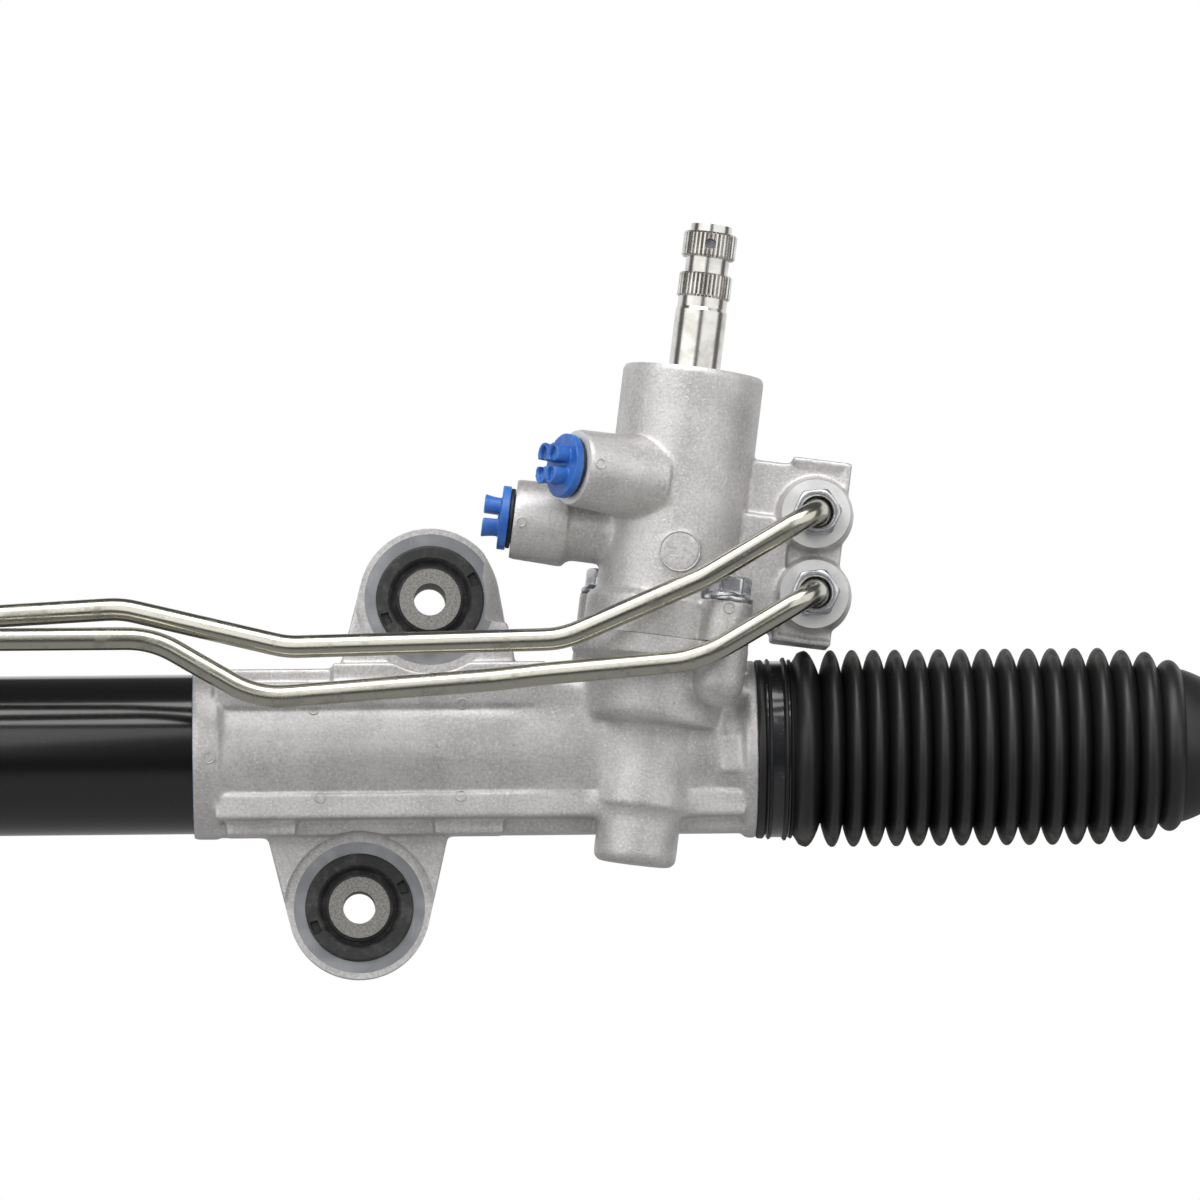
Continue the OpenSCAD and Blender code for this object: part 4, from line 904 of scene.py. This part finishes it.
barrel = {  # millimetres along the rack
    "seat": 12.6,
    "swage": (28, 20),
    "filler": 22,
    "rackBore": 15.5,
    "yokeBoss": 37,
    "yokeFiller": 17,
    "yokeBore": (16, 8),
    "deepFrom": ((-42, -20, 0, 20, 42, 62), -42, 25),
    "deep": (17, 26),
}


def towerPlaces(rows):
    return [(inTower(*spot), radius * mm, passes) for spot, radius, passes in rows]


def buildGearHousing():
    plan = CastPlan(earFace)
    for side, centre in earMiddles.items():
        low, high = earDepth[side]
        frontFace = Vector((centre.x, low.y + ears["lip"] * mm, centre.z))
        backFace = Vector((centre.x, high.y - ears["lip"] * mm, centre.z))
        plan.grow(frontFace, front, over["face"])
        plan.grow(backFace, rear, over["back"])
        plan.fill(frontFace + front * casting["grow"], backFace + rear * casting["grow"], ears["filler"])
        plan.cut(frontFace, frontFace + front * over["face"] * mm, ears["front"])
        plan.cut(backFace, backFace + rear * over["clear"] * mm, ears["back"])
        plan.cut(frontFace + front, backFace + rear, ears["bush"])
        for face, out in ((frontFace, front), (backFace, rear)):
            ring = face - out * (ears["ringDepth"] * mm)
            plan.machine(ring, out, ears["ring"], over["clear"])
        plan.bore(frontFace, backFace, ears["bush"])
    seam = inTower(0, 0, tower["seam"])
    plan.grow(seam, towerUp, over["face"])
    (upperFrom, upperRadius), (lowerFrom, lowerTo, lowerRadius) = tower["gearFillers"]
    plan.fill(inTower(0, 0, upperFrom), seam + towerUp * casting["grow"], upperRadius)
    plan.fill(inTower(0, 0, lowerFrom), inTower(0, 0, lowerTo), lowerRadius)
    seam = inTower(0, 0, tower["seam"] - casting["seamGap"])
    plan.machine(seam, towerUp, over["face"], over["tower"])
    left = Vector((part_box("gear_housing")[0].x, rackLine.y, rackLine.z))
    right = Vector((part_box("right_boot")[0].x, rackLine.y, rackLine.z))
    seatEnd = right + sideways * barrel["seat"] * mm
    swageLength, swageRadius = barrel["swage"]
    plan.grow(left, -sideways, over["face"])
    plan.fill(left - sideways * casting["grow"], seatEnd, barrel["filler"])
    plan.machine(left, -sideways, over["face"], over["clear"])
    plan.cut(left - sideways, left + sideways * swageLength * mm, swageRadius)
    plan.cut(left, seatEnd + sideways, barrel["rackBore"])
    yoke = Vector((middle("rack_yoke").x, rackLine.y, rackLine.z))
    bossBack = yoke + rear * barrel["yokeBoss"] * mm
    boreRadius, boreDepth = barrel["yokeBore"]
    plan.grow(bossBack, rear, over["face"])
    plan.fill(yoke, bossBack + rear * casting["grow"], barrel["yokeFiller"])
    plan.machine(bossBack, rear, over["face"], over["clear"])
    plan.cut(bossBack - rear * boreDepth * mm, bossBack + rear, boreRadius)
    xs, y, z = barrel["deepFrom"]
    radius, passes = barrel["deep"]
    plan.deepPlaces = towerPlaces(tower["gearDeep"])
    plan.deepPlaces += [(Vector((x, y, z)) * mm, radius * mm, passes) for x in xs]
    plan.softPlaces = towerPlaces(tower["gearSoft"])
    return castBody("gearHousingCasting", "gear_housing", plan)


def portPlace(name):
    held = mount(name)
    return Vector(held["pos_m"]), Vector(held["axis"] if "axis" in held else (0, 0, 1)).normalized()


def buildValveHousing():
    plan = CastPlan(nutFace)
    seam, top = inTower(0, 0, tower["seam"]), inTower(0, 0, tower["top"])
    plan.grow(seam, -towerUp, over["face"])
    plan.grow(top, towerUp, over["face"])
    for corner, size in tower["wingRims"]:
        plan.blocks.append(block(corner, size, towerTurn))
    lowerRadius, overlap, upperRadius = tower["valveFillers"]
    plan.fill(seam - towerUp * casting["grow"], inTower(0, 0, tower["valveBore"]), lowerRadius)
    plan.fill(inTower(0, 0, tower["valveBore"] - overlap), top + towerUp * casting["grow"], upperRadius)
    seam = inTower(0, 0, tower["seam"] + casting["seamGap"])
    plan.cut(seam, seam - towerUp * over["tower"] * mm, over["face"])
    plan.machine(top, towerUp, over["face"], over["tower"])
    plan.cut(inTower(0, 0, tower["sealBore"]), top + towerUp, tower["sealRadius"])
    faceRadius, cutRadius = tower["portFace"]
    boreRadius, boreDepth = tower["portBore"]
    fillerDepth, fillerRadius = tower["portFiller"]
    for name, (near, far, length) in tower["ports"].items():
        face, out = portPlace(name)
        boreEnd = face - out * boreDepth * mm
        plan.blocks.append(rod(face - out * mm, face - out * length * mm, near * mm, farRadius=far * mm))
        plan.grow(face, out, faceRadius)
        plan.fill(face - out * fillerDepth * mm, face + out * casting["grow"], fillerRadius)
        plan.machine(face, out, faceRadius, over["tower"], cutRadius)
        plan.cut(boreEnd, face + out, boreRadius)
        plan.bore(boreEnd, face, boreRadius)
    faceRadius, cutRadius = tower["nutRound"]
    boreRadius, boreDepth = tower["nutBore"]
    for across, up in tower["nuts"]:
        face = inTower(across, tower["nutFace"], up)
        plan.grow(face, front, faceRadius)
        for depth, radius in tower["nutFillers"]:
            plan.fill(face + rear * depth * mm, face + front * casting["grow"], radius)
        plan.machine(face, front, faceRadius, over["tower"], cutRadius)
        plan.cut(face + rear * boreDepth * mm, face + front, boreRadius)
    across, ahead, seat = tower["bolt"]
    for side in (1, -1):
        plan.machine(inTower(side * across, -side * ahead, seat), towerUp, *tower["boltSeat"])
    plan.deepPlaces = towerPlaces(tower["valveDeep"])
    return castBody("valveHousingCasting", "valve_housing", plan)


gearHousing = buildGearHousing()
valveHousing = buildValveHousing()
print("castings ready")


# Casting marks: thin raised rings where the mould's pins and plugs stood, and the bead of sealant
marks = {
    "lift": 0.1,
    "line": 0.26,
    "steps": 48,
    "lineSteps": 6,
    "rayFrom": -0.15,
    "places": [  # x and z in millimetres, ring radius
        (-47.2, 47.3, 1.7), (-12.1, 34.5, 1.6), (32.4, 34.7, 1.6), (-14.0, 62.5, 1.6), (33.0, 63.9, 1.6),
        (117.1, 92.2, 1.6), (77.0, 137.7, 1.5), (52.3, 121.1, 1.4),
    ],
    "disc": (1.8, 62, 6.3),
    "discLine": 1.2,
    "beadRadius": 25.55,
    "bead": 0.24,
    "beadSteps": (180, 8),
}


def closedRing(points, radius, steps):  # a thin tube along a closed line
    made = []
    count = len(points)
    for i, here in enumerate(points):
        along = (points[(i + 1) % count] - points[i - 1]).normalized()
        side = along.cross(front).normalized()
        made += circle(here, side, along.cross(side), radius, steps)
    return made, ringQuads(count, steps, closed=True)


def surfaceTree(mesh):
    return BVHTree.FromPolygons([v.co for v in mesh.vertices], [p.vertices for p in mesh.polygons])


def buildMarks():
    trees = [surfaceTree(piece.data) for piece in (gearHousing, valveHousing)]
    right, up, radius = marks["disc"]
    disc = inTower(right, 0, up)
    rings = [(x * mm, z * mm, r, 1) for x, z, r in marks["places"]]
    rings.append((disc.x, disc.z, radius, marks["discLine"]))
    points, faces = [], []
    for x, z, radius, thick in rings:
        line = []
        for a in angles(marks["steps"]):
            across, up = radius * mm * math.cos(a), radius * mm * math.sin(a)
            start = Vector((x + across, marks["rayFrom"], z + up))
            hits = [hit for hit in (tree.ray_cast(start, rear)[0] for tree in trees) if hit]
            if hits:
                line.append(min(hits, key=lambda hit: hit.y) + front * marks["lift"] * mm)
        if len(line) < marks["steps"]:
            print("mark off the casting at", round(x / mm, 1), round(z / mm, 1))
            continue
        ring, ringFaces = closedRing(line, marks["line"] * mm * thick, marks["lineSteps"])
        faces += [tuple(i + len(points) for i in f) for f in ringFaces]
        points += ring
    addPiece("castingMarks", points, faces, "cast_aluminium", "housing", 80)


buildMarks()
print("casting marks ready")


def buildSealantBead():
    centre = Vector((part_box("gear_housing")[0].x, rackLine.y, rackLine.z))
    rings, steps = marks["beadSteps"]
    points = []
    for here in circle(centre, rear, Vector((0, 0, 1)), marks["beadRadius"] * mm, rings):
        points += circle(here, sideways, (here - centre).normalized(), marks["bead"] * mm, steps)
    mesh = bpy.data.meshes.new("sealantBead")
    mesh.from_pydata([tuple(p) for p in points], [], ringQuads(rings, steps, closed=True))
    sealant = clouded((44, 84, 128), (20, 52, 92), 0.35, 0.0, (400, 3), (0.4, 0.65), 0.2, None)
    mesh.materials.append(finish("sealantBlue", sealant))
    addMesh("sealantBead", mesh, "seal_rubber", "housing")


buildSealantBead()


# Port plugs with flared petals and eased edges, and their round rings
plug = {
    "size": 0.3,
    "hub": 5.4,
    "flare": 0.8,
    "core": 3,
}


def buildPlug(side):
    face, out = portPlace(f"{side}_hose_port")

    def flare(mesh):
        points = readPoints(mesh)
        along, across = fromAxis(points, face, out)
        reach = np.maximum(np.linalg.norm(across, axis=1), 1e-9)
        hub = plug["hub"] * mm
        share = np.clip((along - along.max() + hub) / hub, 0, 1)
        opening = share ** 2 * plug["flare"] * mm * (reach > plug["core"] * mm)
        writePoints(mesh, points + across / reach[:, None] * opening[:, None])

    body, size = f"{side}_port_plug", plug["size"]
    softened(f"{side}PlugCap", body, "plug_blue", body, size, 2, 2, flare)
    softened(f"{side}PlugRing", f"{side}_plug_o_ring", "seal_rubber", body, size, 0, 5)


buildPlug("upper")
buildPlug("lower")
print("plugs ready")


# Hexagon nuts and flange bolts: chamfered corners and eased edges
fasteners = {
    "size": 0.34,
    "slope": 1.7273,
    "chamferDepth": 3,
    "wingNutRound": 8.2,
    "jamNutRound": 10.8,
}


def chamfered(axis, ends, centres, faceRadius):
    # keeps each corner inside a cone that opens from the nut's end face
    def reshape(mesh):
        points = readPoints(mesh)
        nearest = np.full(len(points), 1e9)
        offset = np.zeros_like(points)
        for centre in centres:
            across = fromAxis(points, centre, axis)[1]
            reach = np.linalg.norm(across, axis=1)
            closer = reach < nearest
            nearest[closer] = reach[closer]
            offset[closer] = across[closer]
        for end in ends:
            depth = np.abs((points - np.array(end)) @ np.array(axis))
            most = faceRadius * mm + depth * fasteners["slope"]
            beyond = (nearest > most) & (depth < fasteners["chamferDepth"] * mm)
            shrink = np.where(beyond, most / np.maximum(nearest, 1e-9) - 1, 0)
            points += offset * shrink[:, None]
        writePoints(mesh, points)
    return reshape


def buildFasteners():
    centres = [inTower(across, tower["nutFace"], up) for across, up in tower["nuts"]]
    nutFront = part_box("valve_pipe_nuts")[0]
    size = fasteners["size"]
    softened("wingPipeNuts", "valve_pipe_nuts", "bright_zinc", "housing", size, 1, 1,
             chamfered(front, [nutFront], centres, fasteners["wingNutRound"]))
    softened("flangeBolts", "valve_housing_bolts", "bright_zinc", "housing", size, 1, 1)
    for side in ("right", "left"):
        node = f"{side}_jam_nut"
        softened(f"{side}JamNut", node, "yellow_zinc", f"{side}_tie_rod", size, 0, 1,
                 chamfered(sideways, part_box(node), [middle(node)], fasteners["jamNutRound"]))


buildFasteners()


# Tie rods: ball, neck, wrench flats and a rolled thread that winds round the rod
tieRod = {
    "ball": 10.93,
    "ballRows": 24,
    "neck": 5,
    "neckEnds": (3, 12, 18),
    "rod": 7.5,
    "thread": 7.0,
    "threadLength": 60,
    "fullThreadFrom": 15.3,
    "underNut": 6.7,
    "runIn": 2,
    "pitch": 1.5,
    "rowsPerPitch": 8,
    "depth": 0.85,
    "crestShare": 1.15,
    "flat": 6,
    "flats": (-24, -8),
    "chamfer": 1.2,
    "steps": 72,
}


def rodRows(length):
    # stations along the rod from the ball's centre, with their radius and the depth of thread there
    ball, neck, stem = tieRod["ball"], tieRod["neck"], tieRod["rod"]
    span = math.pi - math.asin(neck / ball)
    turns = [math.pi - span * k / tieRod["ballRows"] for k in range(1, tieRod["ballRows"] + 1)]
    rows = [(ball * math.cos(a), ball * math.sin(a), 0) for a in turns]
    rows += [(ball + x, r, 0) for x, r in zip(tieRod["neckEnds"], (neck, neck, stem))]
    start = length - tieRod["threadLength"]
    first, last = tieRod["flats"]
    for x in (start + first - 0.05, start + first, start + last, start + last + 0.05, start - 1):
        rows.append((x, stem, 0))
    x = start
    while x < length:
        full = x > start + tieRod["fullThreadFrom"]
        crest = tieRod["thread"] if full else tieRod["underNut"]
        tip = max(0, x - (length - tieRod["chamfer"]))
        runIn = min(1, (x - start) / tieRod["runIn"])
        rows.append((x, crest - tip, tieRod["depth"] * runIn))
        x += tieRod["pitch"] / tieRod["rowsPerPitch"]
    return rows + [(length, tieRod["thread"] - tieRod["chamfer"], tieRod["depth"])]


def buildTieRod(side):
    flip = -1 if side == "left" else 1
    centre = Vector(joint(f"{side}_tie_rod_swing")["pos_m"])
    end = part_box(f"{side}_tie_rod")[1 if side == "right" else 0].x
    length = abs(end - centre.x) / mm
    start = length - tieRod["threadLength"]
    first, last = tieRod["flats"]
    rows = rodRows(length)
    steps = tieRod["steps"]
    points = []
    for x, radius, depth in rows:
        for k in range(steps):
            turn = k / steps
            angle = 2 * math.pi * turn
            wave = abs(((x / tieRod["pitch"] - turn) % 1) * 2 - 1)
            r = radius - depth * (1 - min(1, wave * tieRod["crestShare"]))
            y, z = r * math.sin(angle), r * math.cos(angle)
            if start + first - 0.01 <= x <= start + last + 0.01:
                z = max(-tieRod["flat"], min(tieRod["flat"], z))
            points.append(centre + Vector((x * flip, y, z)) * mm)
    faces = ringQuads(len(rows), steps)
    faces += [tuple(reversed(range(steps))), tuple((len(rows) - 1) * steps + k for k in range(steps))]
    if flip > 0:
        faces = [tuple(reversed(face)) for face in faces]
    made = addPiece(f"{side}ThreadedTieRod", points, faces, "forged_steel", f"{side}_tie_rod", 50)
    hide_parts(f"{side}_tie_rod")


buildTieRod("right")
buildTieRod("left")
print("tie rods ready")
cushion = {"size": 0.8, "fillets": 8, "easing": 8}
softened("tubeCushion", "tube_mount_cushion", "bush_rubber", "housing", **cushion)
print("fasteners and cushion ready")


# Pipes: the routes of the two transfer pipes, as smooth tubes
pipes = {
    "diameter": 7.2,
    "bend": 30,
    "nutBend": 11,
    "lineRadius": 53.9,
    "portRadius": 30.5,
    "nutRun": 35.4,
    "seat": 4,
    "steps": 40,
    "bendDegrees": 4,
    "upper": {
        "port": (-368, 36),
        "nut": tower["nuts"][0],
        "run": [(-130, -57.5, 91.6), (-74.3, -60, 94.4), (-22.2, -66, 81.5), (64.6, -73, 82.9),
                (109.4, -78, 101.7)],
    },
    "lower": {
        "port": (-150, 49.5),
        "nut": tower["nuts"][1],
        "run": [(-64.5, -67, 84.5), (-31.5, -68, 65.2), (41.9, -72, 70.2), (57.7, -73.5, 71.8),
                (102.3, -78, 75.3), (112.3, -79.2, 78.4)],
    },
}


def portPoint(x, turn, radius):
    a = math.radians(turn)
    return rackLine + Vector((x, -radius * math.sin(a), radius * math.cos(a))) * mm


def roundedRoute(points, radii):
    route = [points[0]]
    for i in range(1, len(points) - 1):
        before, corner, after = points[i - 1], points[i], points[i + 1]
        u, w = (corner - before).normalized(), (after - corner).normalized()
        turn = u.angle(w)
        side = (w - u * u.dot(w)).normalized()
        centre = corner - u * radii[i] * math.tan(turn / 2) + side * radii[i]
        steps = max(2, math.ceil(math.degrees(turn) / pipes["bendDegrees"]))
        for k in range(steps + 1):
            a = turn * k / steps
            route.append(centre + (u * math.sin(a) - side * math.cos(a)) * radii[i])
    return route + [points[-1]]


def sweep(route, radius, steps):
    points = []
    last = len(route) - 1
    normal = sideways
    for i, here in enumerate(route):
        along = (route[min(i + 1, last)] - route[max(i - 1, 0)]).normalized()
        normal = (normal - along * normal.dot(along)).normalized()
        points += circle(here, normal, along.cross(normal), radius, steps)
    ends = [tuple(reversed(range(steps))), tuple(last * steps + k for k in range(steps))]
    return points, ringQuads(len(route), steps) + ends


def buildPipe(side):
    plan = pipes[side]
    x, turn = plan["port"]
    right, up = plan["nut"]
    corners = [portPoint(x, turn, pipes["portRadius"]), portPoint(x, turn, pipes["lineRadius"])]
    corners += [Vector(p) * mm for p in plan["run"]]
    corners += [inTower(right, -pipes["nutRun"], up), inTower(right, tower["nutFace"] + pipes["seat"], up)]
    radii = [pipes["bend"] * mm] * len(corners)
    radii[1] = radii[-2] = pipes["nutBend"] * mm
    points, faces = sweep(roundedRoute(corners, radii), pipes["diameter"] / 2 * mm, pipes["steps"])
    made = addPiece(f"{side}TransferPipe", points, faces, "zinc_nickel_steel", "housing", 60)
    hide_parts(f"{side}_transfer_pipe")


buildPipe("upper")
buildPipe("lower")
print("pipes ready")


# Bellows: moulded lip and band seat, rounded crests, cone and cuff
bellows = {
    "start": 126.9,
    "slideFrom": 139.5,
    "firstCrest": 142.75,
    "nextCrest": 151.25,
    "crests": 16,
    "pitch": 7.22,
    "bunching": 1.75,
    "crestRadius": 31.5,
    "crestDepth": 7.0,
    "firstDeeper": 1.2,
    "firstValley": 0.5,
    "fallShares": (0.2, 0.4, 0.6, 0.8, 0.95),
    "fallPower": 1.8,
    "crestPower": 2.2,
    "wall": 1.3,
    "coneFullness": 1.25,
    "coneRows": 16,
    "cuffRadius": 9.7,
    "cuffLength": 12,
    "rodRadius": 7.6,
    "steps": 144,
    "pointsPerCrest": 14,
    "lastCrests": (0.7, 1.4, 4.1),  # how much lower the last three crests stand
    # moulded lip and band seat: distance from the start, radius
    "lip": ((0, 25.1), (0, 28.0), (0.4, 28.5), (1.9, 28.6), (2.5, 28.1), (2.7, 27.3), (3.1, 27.3),
            (3.3, 28.2), (3.8, 28.9), (4.3, 28.7), (4.8, 27.9), (8.0, 27.9), (8.3, 28.7), (8.8, 29.3),
            (9.4, 29.2), (9.8, 28.2), (10.1, 27.6), (10.4, 28.3), (10.8, 28.7), (11.3, 28.5), (11.6, 27.7),
            (11.9, 27.8), (12.4, 28.5)),
    "firstRise": ((-2.2, 30.6), (-1.0, 31.15), (0, 31.4)),
    "firstFall": 8.0,
    # cuff: distance from its start, height over its radius
    "cuff": ((0, 1.0), (0.5, 1.3), (1.6, 1.3), (2.2, 0.9), (2.8, 0), (9.0, 0), (9.5, 0.8), (10.2, 1.2),
             (11.4, 1.1), (12, 0.4)),
}


def crestPlace(i):
    last = bellows["crests"] - 1
    return bellows["nextCrest"] + bellows["pitch"] * i - bellows["bunching"] * math.sin(math.pi * i / last)


def crestHeight(i):
    lower = bellows["lastCrests"]
    place = i - (bellows["crests"] - len(lower))
    return bellows["crestRadius"] - (lower[place] if place >= 0 else 0)


def bellowsLine():
    first, r = bellows["firstCrest"], bellows["crestRadius"]
    line = [(bellows["start"] + x, lip) for x, lip in bellows["lip"]]
    line += [(first + x, lip) for x, lip in bellows["firstRise"]]
    top = line[-1][1]
    valley = (first + crestPlace(0)) / 2 + bellows["firstValley"]
    for u in bellows["fallShares"]:
        line.append((first + (valley - first) * u, top - bellows["firstFall"] * u ** bellows["fallPower"]))
    count = bellows["pointsPerCrest"]
    for i in range(bellows["crests"]):
        here = crestPlace(i)
        before = valley if i == 0 else (crestPlace(i - 1) + here) / 2
        after = here + bellows["pitch"] / 2 if i == bellows["crests"] - 1 else (here + crestPlace(i + 1)) / 2
        base = r - bellows["crestDepth"] - (bellows["firstDeeper"] if i == 0 else 0)
        for k in range(0 if i == 0 else 1, count + 1):
            u = -1 + 2 * k / count
            width = here - before if u < 0 else after - here
            fall = (crestHeight(i) - base) * abs(u) ** bellows["crestPower"]
            line.append((here + u * width, crestHeight(i) - fall))
    return line


def bellowsEnd():
    # cone behind the last crest, full enough for the tie rod to swing inside it
    last = crestPlace(bellows["crests"] - 1) + bellows["pitch"] / 2
    cuff = bellowsCuff()
    base = bellows["crestRadius"] - bellows["crestDepth"]
    neck = bellows["cuffRadius"] + bellows["wall"]
    rows = bellows["coneRows"]
    shares = [k / rows for k in range(rows + 1)]
    return [(last + (cuff - last) * t, base + (neck - base) * t ** bellows["coneFullness"]) for t in shares]


def bellowsCuff():
    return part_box("right_boot")[1].x / mm - bellows["cuffLength"]


def wrapped(outer, wall):  # closes an outer line with an inner one, a wall thickness inside
    return outer + [(x, max(r - wall, bellows["rodRadius"])) for x, r in reversed(outer)]


def smoothCuff():
    cuff, rod = bellowsCuff(), bellows["rodRadius"]
    line = [(cuff + x, bellows["cuffRadius"] + r) for x, r in bellows["cuff"]]
    return [(cuff, rod), *line, (line[-1][0], rod)]


def buildBellows(side):
    flip = side == "left"
    count = bellows["crests"]
    end = crestPlace(count - 1) + bellows["pitch"] / 2
    split = (crestPlace(count - 3) + crestPlace(count - 2)) / 2
    cuff = bellowsCuff()

    def x(value):
        return 2 * rackCentreX - value * mm if flip else value * mm

    def across(value):
        return Vector((x(value), rackLine.y, rackLine.z))

    line, wall = bellowsLine(), bellows["wall"]
    seat, rodBody = f"{side}_ball_seat", f"{side}_tie_rod"
    outlines = {
        "Body": (wrapped([p for p in line if p[0] < split + 0.01], wall),
                 ("housing", "rack", bellows["slideFrom"], split)),
        "LastCrests": (wrapped([p for p in line if p[0] > split - 0.01], wall), ("rack", seat, split, end)),
        "Cone": (wrapped(bellowsEnd(), wall), (seat, rodBody, end, cuff)),
        "Cuff": (smoothCuff(), rodBody),
    }
    for name, (outline, motion) in outlines.items():
        points, faces = revolved(outline, bellows["steps"])
        if flip:
            points, faces = mirrored(points, faces)
        rider = motion if isinstance(motion, str) else None
        made = addPiece(f"{side}Bellows{name}", points, faces, "bellows_rubber", rider, 50)
        if rider is None:
            a, b, start, stop = motion
            across(start)
            across(stop)
            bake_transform(made)
        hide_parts(f"{side}_boot")


buildBellows("right")
buildBellows("left")
print("bellows ready")


# Bush rubbers: outer ring with moulded notches, recess and a raised collar round the sleeve
bush = {
    "outer": 17.25,
    "sleeve": 9.75,
    "steps": 180,
    "notches": (24, 204),
    "notchSpan": 7,
    "notchDepth": 1.4,
    "notchFrom": (14.0, 16.5),
    # the face's outline: radius over the sleeve's, radius, and radius under the outer one, with the depth
    "collar": ((0, 1.6), (0.9, 1.6), (1.2, 2.4), (1.8, 2.7), (2.3, 2.4), (2.6, 1.3), (3.0, 0.9), (3.3, 0.35),
               (3.8, 0)),
    "land": (13.9, 14.1, 14.3, 15.0, 15.7, 16.3, 16.6),
    "rim": ((0.5, 0.05), (0.15, 0.3), (0, 0.8)),
}


def bushLine(depth):
    half = depth / 2
    face = [(bush["sleeve"] + r, half - y) for r, y in bush["collar"]]
    face += [(r, half) for r in bush["land"]]
    face += [(bush["outer"] - r, half - y) for r, y in bush["rim"]]
    return face + [(r, -y) for r, y in reversed(face)]


def buildBush(side):
    low, high = earDepth[side]
    centre = (low + high) / 2
    line = bushLine((high.y - low.y) / mm)
    steps = bush["steps"]
    inner, outer = bush["notchFrom"]
    points = []
    for k in range(steps):
        degrees = 360 * k / steps
        a = math.radians(degrees)
        sunk = any(abs((degrees - n + 180) % 360 - 180) < bush["notchSpan"] for n in bush["notches"])
        for r, y in line:
            if sunk and y > 0 and inner < r < outer:
                y -= bush["notchDepth"]
            points.append(centre + Vector((r * math.cos(a), -y, r * math.sin(a))) * mm)
    faces = ringQuads(steps, len(line), closed=True)
    made = addPiece(f"{side}BushRubber", points, faces, "bush_rubber", "housing", 30)
    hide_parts(f"{side}_mount_rubber")


buildBush("upper")
buildBush("lower")
print("bushes ready")
